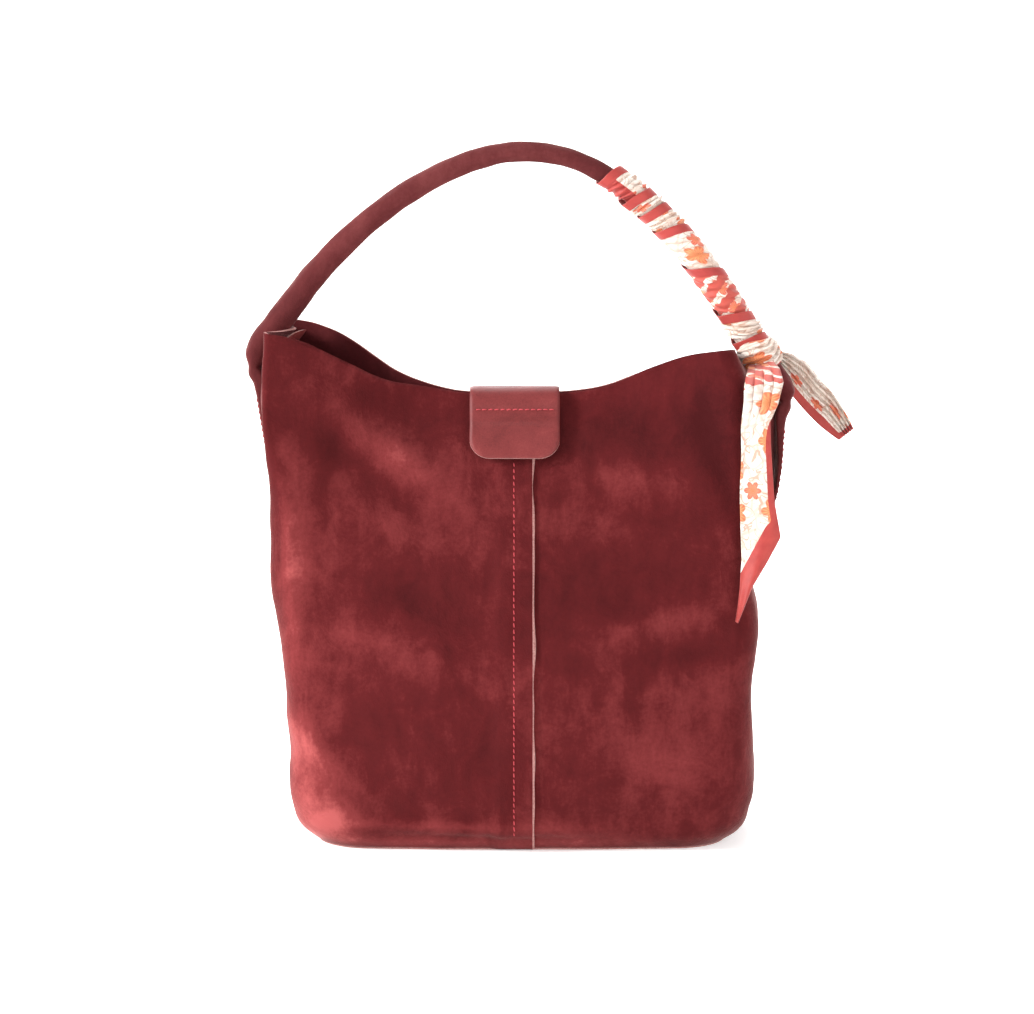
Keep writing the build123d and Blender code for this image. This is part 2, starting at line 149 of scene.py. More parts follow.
class Nodes:
    """Short names for building a material's node tree."""

    def __init__(self, name):
        self.material = bpy.data.materials.new(name)
        self.material.use_nodes = True
        self.tree = self.material.node_tree
        self.shader = self.tree.nodes["Principled BSDF"]

    def put(self, socket, value):
        """Link a socket or set a constant."""
        if is_socket(value):
            self.tree.links.new(value, socket)
        else:
            socket.default_value = value

    def add(self, kind, inputs=(), **settings):
        """A node of a kind, with its settings and with inputs by name or by number."""
        node = self.tree.nodes.new("ShaderNode" + kind)
        for key, value in settings.items():
            setattr(node, key, value)
        for key, value in dict(inputs).items():
            self.put(node.inputs[key], value)
        return node

    def position(self, scale=(1, 1, 1), turn=(0, 0, 0)):
        """Object coordinates, stretched and turned."""
        source = self.add("TexCoord").outputs["Object"]
        return self.add("Mapping", {"Vector": source, "Scale": scale, "Rotation": turn}).outputs["Vector"]

    def noise_node(self, vector, scale, detail=4.0, roughness=0.5, distortion=0.0):
        return self.add("TexNoise", {"Vector": vector, "Scale": scale, "Detail": detail,
                                     "Roughness": roughness, "Distortion": distortion})

    def noise(self, *values):
        return self.noise_node(*values).outputs["Fac"]

    def math(self, operation, *values):
        return self.add("Math", enumerate(values), operation=operation).outputs[0]

    def vector(self, operation, *values):
        return self.add("VectorMath", enumerate(values), operation=operation).outputs[0]

    def split(self, vector):
        """The X, Y and Z of a vector."""
        return self.add("SeparateXYZ", {0: vector}).outputs

    def blend(self, *parts):
        """The sum of (value, weight) pairs."""
        total = self.math("MULTIPLY", *parts[0])
        for value, weight in parts[1:]:
            total = self.math("MULTIPLY_ADD", value, weight, total)
        return total

    def ramp(self, factor, *stops):
        node = self.add("ValToRGB", {"Fac": factor})
        elements = node.color_ramp.elements
        while len(elements) < len(stops):
            elements.new(0.5)
        for element, (place, colour) in zip(elements, stops):
            element.position = place
            element.color = (*colour, 1)
        return node.outputs["Color"]

    def mask(self, factor, low, high, level=1.0):
        """Grey that is level below low and falls to nothing at high."""
        return self.ramp(factor, (low, (level,) * 3), (high, (0, 0, 0)))

    def mix(self, factor, first, second):
        inputs = {0: factor, 6: with_alpha(first), 7: with_alpha(second)}
        return self.add("Mix", inputs, data_type="RGBA").outputs[2]

    def bump(self, height, strength, distance, normal=None):
        node = self.add("Bump", {"Strength": strength, "Distance": distance, "Height": height})
        if normal is not None:
            self.put(node.inputs["Normal"], normal)
        return node.outputs["Normal"]

    def finish(self, colour, roughness, normal=None, **constants):
        self.put(self.shader.inputs["Base Color"], with_alpha(colour))
        self.put(self.shader.inputs["Roughness"], roughness)
        if normal is not None:
            self.put(self.shader.inputs["Normal"], normal)
        for name, value in constants.items():
            self.shader.inputs[name.replace("_", " ")].default_value = value
        return self.material


# ---------------------------------------------------------------- materials
# Four tones of each suede, from dark nap to pale; the body's stored wear and painted highlight push the tone
# to the pale end, its painted shade to the dark end.
BODY_SUEDE = ((0.041, 0.0036, 0.0044), (0.078, 0.0076, 0.0088), (0.165, 0.025, 0.026), (0.34, 0.072, 0.070))
INSIDE_SUEDE = ((0.030, 0.0035, 0.0045), (0.058, 0.0075, 0.009), (0.10, 0.017, 0.018), (0.16, 0.03, 0.03))
# The handle's suede is the body's hide made lighter and greyer: the difference is a painted sheen.
HANDLE_SUEDE_PAINTED_SHEEN = ((0.055, 0.009, 0.010), (0.090, 0.017, 0.018), (0.14, 0.033, 0.033), (0.24, 0.07, 0.07))
TONE_PLACES = (0.31, 0.50, 0.68, 0.83)


def suede_material(name, tones, seed):
    """Napped suede: patchy nap, fine mottling, stored wear with painted light and shade, and a soft sheen."""
    n = Nodes(name)
    place = n.vector("ADD", n.position(), (seed, seed * 0.7, seed * 1.3))
    clouds = n.noise(place, 7.0, 4.0, 0.5, 0.5)
    patches = n.noise(place, 34.0, 5.0, 0.66, 0.7)
    strokes = n.noise(n.position((1.0, 1.0, 0.3), (0, 0.6, 0)), 70.0, 4.0, 0.65, 0.3)
    nap = n.noise(place, 420.0, 3.0, 0.65)
    fibre = n.noise(n.position((1.0, 1.0, 0.5)), 1400.0, 2.0, 0.6)
    # per point on the body: wear plus painted light and shade, which moves the tone paler or darker
    painted_light_and_wear = n.add("Attribute", attribute_name="wear_and_painted_light").outputs["Fac"]
    tone = n.blend((patches, 0.30), (clouds, 0.30), (strokes, 0.26), (nap, 0.14), (painted_light_and_wear, 0.19))
    colour = n.ramp(tone, *zip(TONE_PLACES, tones))
    broad = n.bump(patches, 0.35, 0.003)
    normal = n.bump(n.blend((nap, 0.8), (fibre, 0.5)), 0.6, 0.0004, broad)
    roughness = n.math("MULTIPLY_ADD", patches, 0.16, 0.80)
    return n.finish(colour, roughness, normal, Specular_IOR_Level=0.08, Sheen_Weight=0.30,
                    Sheen_Roughness=0.35, Sheen_Tint=(1.0, 0.62, 0.58, 1))


def speckled_material(name, grain, dark, pale, roughness, bump, shine):
    """Two tones in a fine grain that also roughens the surface; grain is the noise's scale and so on."""
    n = Nodes(name)
    speck = n.noise(n.position(), *grain)
    colour = n.ramp(speck, (0.3, dark), (0.7, pale))
    return n.finish(colour, roughness, n.bump(speck, *bump), Specular_IOR_Level=shine)


def edge_material():
    """The pale cut edge of the hide."""
    return speckled_material("raw_edge", (900.0, 3.0, 0.6), (0.28, 0.11, 0.10), (0.48, 0.26, 0.24),
                             0.9, (0.5, 0.0004), 0.15)


def thread_material():
    """Coral red thread with a twist."""
    return speckled_material("coral_thread", (2400.0, 2.0, 0.5), (0.34, 0.030, 0.040),
                             (0.58, 0.080, 0.090), 0.75, (0.5, 0.0002), 0.25)


def cotton_material():
    """Undyed cotton cord with fine fibres."""
    return speckled_material("cotton_cord", (1500.0, 3.0, 0.6), (0.55, 0.48, 0.38), (0.76, 0.70, 0.60),
                             0.92, (0.6, 0.0004), 0.1)


def leather_material():
    """Smooth burgundy leather: fine grain, soft scuffs and a satin shine."""
    n = Nodes("smooth_burgundy_leather")
    place = n.position()
    clouds = n.noise(place, 30.0, 4.0, 0.6, 0.4)
    grain = n.noise(place, 900.0, 3.0, 0.6)
    pores = n.noise(place, 2600.0, 2.0, 0.5)
    colour = n.ramp(n.blend((grain, 0.3), (clouds, 0.7)), (0.36, (0.105, 0.010, 0.010)),
                    (0.52, (0.155, 0.018, 0.018)), (0.68, (0.215, 0.034, 0.032)))
    normal = n.bump(n.math("MULTIPLY_ADD", pores, 0.4, grain), 0.35, 0.0003)
    roughness = n.math("MULTIPLY_ADD", clouds, 0.25, 0.42)
    return n.finish(colour, roughness, normal, Specular_IOR_Level=0.35)


def metal_material():
    """Brushed pale gold with fine scratches."""
    n = Nodes("brushed_gold")
    brush = n.noise(n.position((1.0, 1.0, 30.0)), 160.0, 4.0, 0.6)
    colour = n.ramp(brush, (0.3, (0.60, 0.44, 0.22)), (0.7, (0.82, 0.66, 0.40)))
    roughness = n.math("MULTIPLY_ADD", brush, 0.22, 0.22)
    return n.finish(colour, roughness, n.bump(brush, 0.15, 0.0002), Metallic=1.0)


SCARF_BORDER = 6.5  # millimetres of plain coral along every edge of the scarf
FROND_BED = 0.251  # metres along the scarf to the middle of its bed of coral fronds
FROND_REACH = 0.021  # metres from there to the bed's ends
FLOWER_SHARE = 0.42  # of the cells of each scale have a flower


def line_drawing(n, cloth):
    """Fine brown veins, strokes and hatching: how much of each point they cover."""
    wobble = n.noise_node(cloth, 60.0, 2.0).outputs["Color"]
    bent = n.vector("MULTIPLY_ADD", wobble, (0.006, 0.006, 0.0), cloth)
    veins = n.add("TexVoronoi", {"Vector": bent, "Scale": 78.0, "Randomness": 1.0},
                  feature="DISTANCE_TO_EDGE").outputs["Distance"]

    def contours(*noise_values):
        """Ten times the distance from the middle level of a noise."""
        level = n.math("SUBTRACT", n.noise(bent, *noise_values), 0.5)
        return n.math("MULTIPLY", n.math("ABSOLUTE", level), 10.0)

    lines = n.mask(veins, 0.03, 0.08, 0.55)
    strokes = n.mask(contours(95.0, 1.0, 0.4, 1.2), 0.13, 0.34)
    hatching = n.mask(contours(150.0, 2.0, 0.5, 2.0), 0.07, 0.20, 0.6)
    return n.math("MULTIPLY", n.math("MAXIMUM", n.math("MAXIMUM", lines, hatching), strokes), 0.72)


def add_flowers(n, cloth, ground, scale, seed, petals, inner, outer):
    """Flowers of one size with rounded petals, one in some of the cells of the cloth."""
    spread = n.vector("ADD", cloth, (seed, seed * 0.6, 0))
    cells = n.add("TexVoronoi", {"Vector": spread, "Scale": scale, "Randomness": 0.75},
                  voronoi_dimensions="2D").outputs
    away = n.split(n.vector("SUBTRACT", spread, cells["Position"]))
    angle = n.math("ARCTAN2", away["Y"], away["X"])
    lobes = n.math("ABSOLUTE", n.math("COSINE", n.math("MULTIPLY", angle, petals / 2)))
    share = n.math("DIVIDE", cells["Distance"], n.math("MULTIPLY_ADD", lobes, 0.16, 0.20))
    streak = n.math("COSINE", n.math("MULTIPLY", angle, petals * 4))
    shade = n.blend((share, 0.7), (streak, 0.22))
    pick = n.add("SeparateColor", {0: cells["Color"]}).outputs[0]
    petal = n.math("MULTIPLY", n.mask(share, 0.93, 1.0), n.math("LESS_THAN", pick, FLOWER_SHARE))
    flower = n.ramp(shade, (0.05, (0.42, 0.10, 0.03)), (0.22, inner), (0.75, outer))
    return n.mix(petal, ground, flower)


def frond_bed(n, cloth):
    """Where the coral fronds cover their bed, which has ragged ends."""
    bands = n.add("TexWave", {"Vector": cloth, "Scale": 46.0, "Distortion": 3.2, "Detail": 2.0,
                              "Detail Scale": 2.0}, bands_direction="DIAGONAL").outputs["Fac"]
    fronds = n.ramp(bands, (0.24, (0, 0, 0)), (0.34, (1, 1, 1)))
    along = n.math("MULTIPLY_ADD", n.noise(cloth, 60.0, 2.0, 0.5), 0.012, n.split(cloth)["Y"])
    away = n.math("ABSOLUTE", n.math("SUBTRACT", along, FROND_BED))
    return n.math("MULTIPLY", fronds, n.math("LESS_THAN", away, FROND_REACH))


def twill_bump(n, cloth):
    """Diagonal ribs and soft creases."""
    turned = n.add("Mapping", {"Vector": cloth, "Rotation": (0, 0, math.radians(35))}).outputs["Vector"]
    ribs = n.add("TexWave", {"Vector": turned, "Scale": 420.0, "Distortion": 0.4},
                 bands_direction="X").outputs["Fac"]
    return n.bump(n.math("MULTIPLY_ADD", ribs, 0.10, n.noise(cloth, 170.0, 4.0, 0.6)), 0.35, 0.0008)


def scarf_material():
    """Printed twill: coral border, cream ground, fine line drawing and orange flowers."""
    n = Nodes("printed_twill")
    cloth = n.add("UVMap", uv_map="cloth").outputs["UV"]
    rim = n.split(n.add("UVMap", uv_map="edge").outputs["UV"])["X"]
    ground = n.ramp(n.noise(cloth, 45.0, 3.0, 0.5), (0.40, (0.73, 0.67, 0.61)), (0.62, (0.68, 0.57, 0.49)))
    colour = n.mix(line_drawing(n, cloth), ground, (0.38, 0.17, 0.10))
    colour = add_flowers(n, cloth, colour, 40.0, 0.0, 5.0, (0.72, 0.27, 0.11), (0.58, 0.12, 0.055))
    colour = add_flowers(n, cloth, colour, 52.0, 3.7, 6.0, (0.74, 0.22, 0.11), (0.50, 0.07, 0.05))
    colour = n.mix(frond_bed(n, cloth), colour, (0.42, 0.060, 0.042))
    coral = n.ramp(n.noise(cloth, 120.0, 3.0, 0.6), (0.3, (0.30, 0.024, 0.020)),
                   (0.7, (0.37, 0.036, 0.028)))
    colour = n.mix(n.math("LESS_THAN", rim, SCARF_BORDER * MM), colour, coral)
    return n.finish(colour, 0.5, twill_bump(n, cloth), Specular_IOR_Level=0.35, Sheen_Weight=0.15)


# ---------------------------------------------------------------- mesh helpers
def ease(value, low, high):
    """0 below low, 1 above high, smooth between."""
    t = np.clip((value - low) / (high - low), 0, 1)
    return t * t * (3 - 2 * t)


def lengths_along(line):
    """The length from a line's first point to each of its points."""
    return np.concatenate([[0], np.cumsum(np.linalg.norm(np.diff(line, axis=0), axis=1))])


def read_table(at, places, *columns):
    """Several columns read at one place between the rows."""
    return [np.interp(at, places, column) for column in columns]


def path_frame(line):
    """Normals to the left of a flat path and the length along it."""
    tangent = np.gradient(line, axis=0)
    tangent /= np.linalg.norm(tangent, axis=1, keepdims=True)
    return np.stack([-tangent[:, 1], tangent[:, 0]], axis=1), lengths_along(line)


def catmull(points, steps):
    """A smooth curve through points, with its place counted in points."""
    points = np.array(points, dtype=float)
    padded = np.concatenate([2 * points[:1] - points[1:2], points, 2 * points[-1:] - points[-2:-1]])
    result = []
    places = []
    for i in range(len(points) - 1):
        p0, p1, p2, p3 = padded[i:i + 4]
        for t in np.linspace(0, 1, steps, endpoint=False):
            result.append(0.5 * (2 * p1 + (p2 - p0) * t + (2 * p0 - 5 * p1 + 4 * p2 - p3) * t**2
                                 + (3 * p1 - p0 - 3 * p2 + p3) * t**3))
            places.append(i + t)
    result.append(points[-1])
    places.append(len(points) - 1)
    return np.array(result), np.array(places)


def tube_faces(rings, sides, base=0):
    """Quads between successive rings of points."""
    faces = []
    for a in range(base, base + (rings - 1) * sides, sides):
        for j in range(sides):
            k = (j + 1) % sides
            faces.append((a + j, a + sides + j, a + sides + k, a + k))
    return faces


def rod_faces(rings, sides, base):
    """The quads of a thin rod and its two ends."""
    faces = [(a, d, c, b) for a, b, c, d in tube_faces(rings, sides, base)]
    faces.append(tuple(base + j for j in range(sides))[::-1])
    faces.append(tuple(base + (rings - 1) * sides + j for j in range(sides)))
    return faces


def turn_faces_out(mesh):
    """Make all faces of a closed mesh look outwards."""
    bm = bmesh.new()
    bm.from_mesh(mesh)
    bmesh.ops.recalc_face_normals(bm, faces=bm.faces)
    bm.to_mesh(mesh)
    bm.free()


def sheet_mesh(name, outer, inner, materials, close_rows=False, flat=None, edge_distance=None):
    """A thick sheet between two grids of points (rows, columns, 3), in millimetres.

    Faces take material 0 outside, 1 inside and 2 on the cut edges. UVs are in metres along the
    sheet, columns first.
    """
    rows, columns = outer.shape[:2]
    count = rows * columns
    last = columns - 1
    top = rows - 1
    mesh = bpy.data.meshes.new(name)
    points = np.concatenate([outer.reshape(-1, 3), inner.reshape(-1, 3)]) * MM
    index = np.arange(count).reshape(rows, columns).tolist()
    faces = []
    kinds = []

    def quad(a, b, c, d, kind):
        faces.append((a, b, c, d))
        kinds.append(kind)

    row_pairs = [(i, i + 1) for i in range(top)]
    if close_rows:
        row_pairs.append((top, 0))
    for i, k in row_pairs:
        here = index[i]
        there = index[k]
        for j in range(last):
            a, b, c, d = here[j], here[j + 1], there[j + 1], there[j]
            quad(a, b, c, d, 0)
            quad(d + count, c + count, b + count, a + count, 1)
        quad(here[0] + count, here[0], there[0], there[0] + count, 2)
        quad(here[last], here[last] + count, there[last] + count, there[last], 2)
    if not close_rows:
        for a, b, c, d in zip(index[0], index[0][1:], index[top], index[top][1:]):
            quad(a + count, b + count, b, a, 2)
            quad(c, d, d + count, c + count, 2)
    mesh.from_pydata(points.tolist(), [], faces)
    for material in materials:
        mesh.materials.append(material)
    mesh.polygons.foreach_set("material_index", kinds)
    mesh.polygons.foreach_set("use_smooth", [kind != 2 for kind in kinds])
    if flat is None:
        across = np.zeros((rows, columns))
        across[:, 1:] = np.cumsum(np.linalg.norm(np.diff(outer, axis=1), axis=2), axis=1)
        along = np.zeros((rows, columns))
        along[1:] = np.cumsum(np.linalg.norm(np.diff(outer, axis=0), axis=2), axis=0)
        flat = (across, along)
    maps = {"cloth": flat}
    if edge_distance is not None:
        maps["edge"] = (edge_distance, edge_distance)
    corners = np.empty(len(mesh.loops), dtype=np.int64)
    mesh.loops.foreach_get("vertex_index", corners)
    for map_name, (first, second) in maps.items():
        pairs = np.stack([first.ravel(), second.ravel()], axis=1) * MM
        pairs = np.concatenate([pairs, pairs])
        layer = mesh.uv_layers.new(name=map_name)
        layer.data.foreach_set("uv", pairs[corners].ravel())
    mesh.update()
    return place_object(name, mesh)


def plain_mesh(name, points, faces, material):
    """A smooth mesh from points in millimetres, its faces turned outwards."""
    mesh = bpy.data.meshes.new(name)
    mesh.from_pydata([tuple(float(value) * MM for value in point) for point in points], [], faces)
    turn_faces_out(mesh)
    mesh.materials.append(material)
    mesh.polygons.foreach_set("use_smooth", [len(face.vertices) == 4 for face in mesh.polygons])
    return place_object(name, mesh)


def grid_normals(grid):
    """Unit normals of a grid of points, rows by columns."""
    normals = np.cross(np.gradient(grid, axis=1), np.gradient(grid, axis=0))
    length = np.linalg.norm(normals, axis=2, keepdims=True)
    return normals / np.maximum(length, 1e-9)


def closed_normals(grid):
    """Normals of a grid whose columns run all the way round."""
    padded = np.concatenate([grid[:, -2:], grid, grid[:, :2]], axis=1)
    return grid_normals(padded)[:, 2:-2]


# ---------------------------------------------------------------- the body's shape
SUEDE = 1.8  # thickness of the hide
LAP_LIFT = SUEDE + 0.05
LAP_EDGE_X = 10.5  # the left half's cut edge
UNDERLAP_EDGE_X = -12.0  # the right half's, under it
LAP_ROOT_X = -20.0  # from here the left half starts to rise over the right one
SEAM_STITCH_X = -3.5

# z, left x, right x, corner y, middle y, left middle x, right middle x, corner radius
RINGS = np.array([
    (0, -138, 142, 58, 63, -141, 145, 38),
    (9, -148, 152, 67, 73, -151, 155, 38),
    (28, -155.5, 159, 73, 79, -158.5, 163.5, 34),
    (70, -155.5, 160.5, 73, 82, -158.5, 164.5, 28),
    (120, -160, 158.5, 68, 79, -163, 162, 24),
    (153, -165, 162, 63, 72, -167, 168.5, 20),
    (185, -170, 157, 59, 62, -168, 162, 17),
    (222, -171, 156, 55, 47, -168, 168, 14),
    (250, -171.5, 156, 53, 35, -168.8, 171.5, 11),
    (275, -174, 155, 51, 24, -173, 173, 10),
    (300, -176, 152, 48, 12, -178.5, 171, 10),
    (330, -176.5, 150, 45, 6.5, -167, 149, 9),
    (365, -178, 147, 43, 5.5, -146, 125, 8),
], dtype=float)
MIDDLE_X = 55.0  # the front and the back turn a little here
MIDDLE_RADIUS = 130.0
MIDDLE_TANGENT = 24.0  # the longest tangent of that rounding
SIDE_RADIUS = 12.0
# Near the rim the left corners are sharper by this share, from one height to another.
LEFT_SHARPER = 0.55
LEFT_SHARPER_Z = (230, 300)

FRONT_RIM = [(-260, 353.5), (-179, 353.5), (-150, 347), (-122, 329), (-94, 313), (-52, 312),
             (-36, 309.5), (30, 309.5), (57, 313.5), (85, 328), (113, 338.5), (152, 342.5), (260, 342.5)]
BACK_RIM = [(-260, 359), (-179, 359), (-150, 360), (-122, 354), (-104, 343), (-83, 327), (-52, 312),
            (-36, 309.5), (30, 309.5), (57, 312), (85, 320), (113, 329), (152, 334), (260, 334)]
RIM_REACH = 45.0  # the front rim turns into the back one within this far from the middle in Y
RIM_SPREAD = (-9, -4.5, 0, 4.5, 9)  # the rims are smoothed over these steps in X


def smooth_table(table, at):
    """Each column of a table read at its first column's value, by a cubic with the table's slopes."""
    heights = table[:, 0]
    slopes = np.gradient(table[:, 1:], heights, axis=0)
    i = int(np.clip(np.searchsorted(heights, at) - 1, 0, len(heights) - 2))
    step = heights[i + 1] - heights[i]
    t = (at - heights[i]) / step
    h00 = 2 * t**3 - 3 * t**2 + 1
    h10 = t**3 - 2 * t**2 + t
    h01 = -2 * t**3 + 3 * t**2
    h11 = t**3 - t**2
    return (h00 * table[i, 1:] + h10 * step * slopes[i]
            + h01 * table[i + 1, 1:] + h11 * step * slopes[i + 1])


RING_LEVELS = np.arange(0, 366)
RING_CURVES = np.array([smooth_table(RINGS, level) for level in RING_LEVELS])


def rim_height(x, y):
    """Height of the cut rim above a point in plan."""
    front, back = [np.mean([np.interp(x + step, *zip(*rim)) for step in RIM_SPREAD])
                   for rim in (FRONT_RIM, BACK_RIM)]
    share = np.clip((y + RIM_REACH) / (2 * RIM_REACH), 0, 1)
    return front + share * (back - front)


ARC_STEPS = 9  # points round each corner
LONG_RUN = 22  # points between two corners of the front or the back
SHORT_RUN = 9  # and of a side
# X of the points between the two corners that a seam lies between.
SEAM_XS = np.array([-30, -26, -23, -20, -17, -14.5, -12, -9, -6, -3.5, -1, 2, 5, 7.5, 9.2, 10.5, 13, 16,
                    20, 25, 30], dtype=float)


def rounded_corner(before, here, after, radius, longest_tangent):
    """Points along the arc that rounds a corner."""
    way_in = (here - before) / np.linalg.norm(here - before)
    way_out = (after - here) / np.linalg.norm(after - here)
    half = 0.5 * math.acos(float(np.clip(way_in @ way_out, -1, 1)))
    radius = min(radius, longest_tangent / max(math.tan(half), 1e-6))
    tangent = radius * math.tan(half)
    start = here - way_in * tangent
    end = here + way_out * tangent
    # a rational quadratic curve between the tangent points is the exact arc
    weight = math.cos(half)
    t = np.linspace(0, 1, ARC_STEPS)[:, None]
    top = (1 - t)**2 * start + 2 * t * (1 - t) * weight * here + t**2 * end
    return top / ((1 - t)**2 + 2 * t * (1 - t) * weight + t**2)


def outline(level):
    """The body's outline at a level, as points that keep their place from level to level."""
    left, right, corner_y, middle_y, left_mid, right_mid, radius = read_table(
        level, RING_LEVELS, *RING_CURVES.T)
    left_radius = radius * (1 - LEFT_SHARPER * float(ease(level, *LEFT_SHARPER_Z)))
    front = [(left, -corner_y, left_radius, math.inf), (-MIDDLE_X, -middle_y, MIDDLE_RADIUS, MIDDLE_TANGENT),
             (MIDDLE_X, -middle_y, MIDDLE_RADIUS, MIDDLE_TANGENT), (right, -corner_y, radius, math.inf)]
    back = [(x, -y, *rounding) for x, y, *rounding in front[::-1]]
    corners = [*front, (right_mid, 0, SIDE_RADIUS, math.inf), *back, (left_mid, 0, SIDE_RADIUS, math.inf)]
    runs = [LONG_RUN, SEAM_XS, LONG_RUN, SHORT_RUN, SHORT_RUN,
            LONG_RUN, SEAM_XS[::-1], LONG_RUN, SHORT_RUN, SHORT_RUN]
    places = np.array([corner[:2] for corner in corners])
    arcs = [rounded_corner(before, here, after, *corner[2:]) for before, here, after, corner in
            zip(np.roll(places, 1, axis=0), places, np.roll(places, -1, axis=0), corners)]
    points = []
    for arc, run, after in zip(arcs, runs, arcs[1:] + arcs[:1]):
        start = arc[-1]
        end = after[0]
        if isinstance(run, int):
            share = np.arange(1, run + 1) / (run + 1)
        else:
            share = (run - start[0]) / (end[0] - start[0])
        points += [arc, start + share[:, None] * (end - start)]
    return np.concatenate(points)


def segment_ridge(x, z, start, end, width, height):
    """A soft ridge, or a valley if height is negative, along a straight line in X and Z."""
    ax, az = start
    bx, bz = end
    length2 = (bx - ax)**2 + (bz - az)**2
    t = np.clip(((x - ax) * (bx - ax) + (z - az) * (bz - az)) / length2, 0, 1)
    away = np.hypot(x - ax - t * (bx - ax), z - az - t * (bz - az))
    fade = np.sin(np.pi * np.clip(t * 0.86 + 0.07, 0, 1))
    return height * np.exp(-(away / width)**2) * fade


FRONT_FOLDS = [
    # start, end, width, height
    ((-150, 318), (-38, 236), 13, 2.6),
    ((-150, 296), (-62, 222), 11, -2.2),
    ((-163, 96), (-96, 30), 9, 3.0),
    ((-150, 84), (-92, 22), 8, -1.6),
    ((-136, 21), (56, 17), 5, 2.2),
    ((-120, 11), (70, 8), 4, -1.4),
    ((-168, 280), (-163, 150), 6, -1.8),
    ((-158, 250), (-152, 120), 7, 1.5),
    ((28, 258), (120, 250), 12, 1.8),
    ((40, 232), (128, 222), 11, -1.6),
    ((60, 150), (150, 168), 12, 2.0),
    ((70, 130), (152, 140), 9, -1.6),
    ((-110, 190), (-30, 150), 16, -1.6),
    ((-120, 150), (-30, 120), 15, 1.6),
    ((120, 320), (150, 210), 8, -2.0),
    ((20, 100), (120, 60), 15, 1.2),
]
BACK_FOLDS = [
    ((140, 316), (34, 240), 13, 2.4),
    ((-150, 300), (-50, 232), 12, 2.2),
    ((150, 100), (90, 30), 9, 2.6),
    ((-150, 96), (-100, 28), 9, 2.4),
    ((-130, 18), (120, 20), 6, 2.0),
    ((-120, 170), (0, 150), 16, -1.8),
    ((10, 130), (130, 160), 14, 1.8),
]


# How far the straps pull each side out, by height, and over what half width in Y.
RIGHT_BULGE = [(180, 0), (205, 1.0), (222, 3.2), (243, 6.5), (262, 7.0), (280, 7.4), (295, 8.6), (308, 8.6),
               (322, 7.0), (338, 3.5), (352, 0)]
LEFT_BULGE = [(285, 0), (300, 0.8), (312, 4.5), (322, 8.0), (335, 7.5), (350, 2.5), (362, 0)]
RIGHT_BULGE_REACH = 30.0
LEFT_BULGE_REACH = 19.0
FACE_FADE = 20.0  # the front and the back blend into the sides over this far in Y
# The surface's unevenness: stretch in X and Y, in Z, shift in X, in Y, and height.
UNEVENNESS = [(62, 55, 0, 3.1, 2.4), (23, 27, 7.7, 0, 1.1), (9, 11, 0, 1.3, 0.30)]


def add_folds(amount, x, z, folds, facing, width_share=1.0, height_share=1.0):
    """Add the ridges and valleys of one side to an amount, where the body faces that side."""
    for start, end, width, height in folds:
        amount += facing * segment_ridge(x, z, start, end, width * width_share, height * height_share)


def strap_pull(x, y, z):
    """The bulge of the walls under the straps."""
    right = np.interp(z, *zip(*RIGHT_BULGE)) * np.exp(-(y / RIGHT_BULGE_REACH)**2)
    left = np.interp(z, *zip(*LEFT_BULGE)) * np.exp(-(y / LEFT_BULGE_REACH)**2)
    return np.where(x > 0, right, left) * ease(np.abs(x), 115, 150)


def relief(points):
    """How far each point of the body stands out of the smooth shape, in millimetres."""
    x, y, z = np.moveaxis(points, -1, 0)
    amount = np.zeros_like(x)
    add_folds(amount, x, z, FRONT_FOLDS, np.clip(-y / FACE_FADE, 0, 1))
    add_folds(amount, x, z, BACK_FOLDS, np.clip(y / FACE_FADE, 0, 1))
    flat = points.reshape(-1, 3)
    rough = np.zeros(len(flat))
    for i, (px, py, pz) in enumerate(flat):
        for wide, high, shift_x, shift_y, size in UNEVENNESS:
            rough[i] += size * noise.noise((px / wide + shift_x, py / wide + shift_y, pz / high))
    # calm near the floor, under the tab and under the straps, where something holds the hide flat
    under_tab = np.clip(1.3 - np.hypot((x - TAB_MIDDLE_X) / 48, (z - 318) / 70), 0, 1)
    under_strap = np.exp(-(y / 26)**2) * ease(z, 196, 222) * (np.abs(x) > 140)
    calm = np.clip(z / 12, 0, 1) * (1 - ease(under_tab, 0, 0.5)) * (1 - ease(under_strap, 0.1, 0.7))
    return (amount + rough.reshape(x.shape)) * calm + strap_pull(x, y, z)


# Broad patches of painted light (positive strength) and painted shade (negative strength) on the nap.
PAINTED_LIGHT_AND_SHADE_PATCHES = [
    # x, z, half width, half height, strength
    (-148, 58, 22, 42, 1.4), (-152, 190, 14, 75, 0.75), (-100, 262, 44, 20, 0.45), (-60, 225, 40, 16, 0.4),
    (-35, 180, 40, 60, 0.25), (-118, 120, 40, 40, 0.35), (50, 222, 32, 12, 0.45), (110, 110, 45, 18, 0.35),
    (-60, 8, 110, 5, 0.9), (95, 60, 60, 26, 0.30), (20, 5, 60, 4, 0.5), (-130, 22, 26, 16, 1.5),
    (135, 285, 26, 45, -0.55), (-110, 305, 50, 14, -0.5), (60, 285, 70, 20, -0.35),
    (-135, 260, 14, 30, -0.4), (60, 180, 60, 26, -0.35), (-90, 90, 30, 26, -0.25), (95, 295, 50, 40, -0.4),
    (-75, 285, 40, 16, -0.35),
]


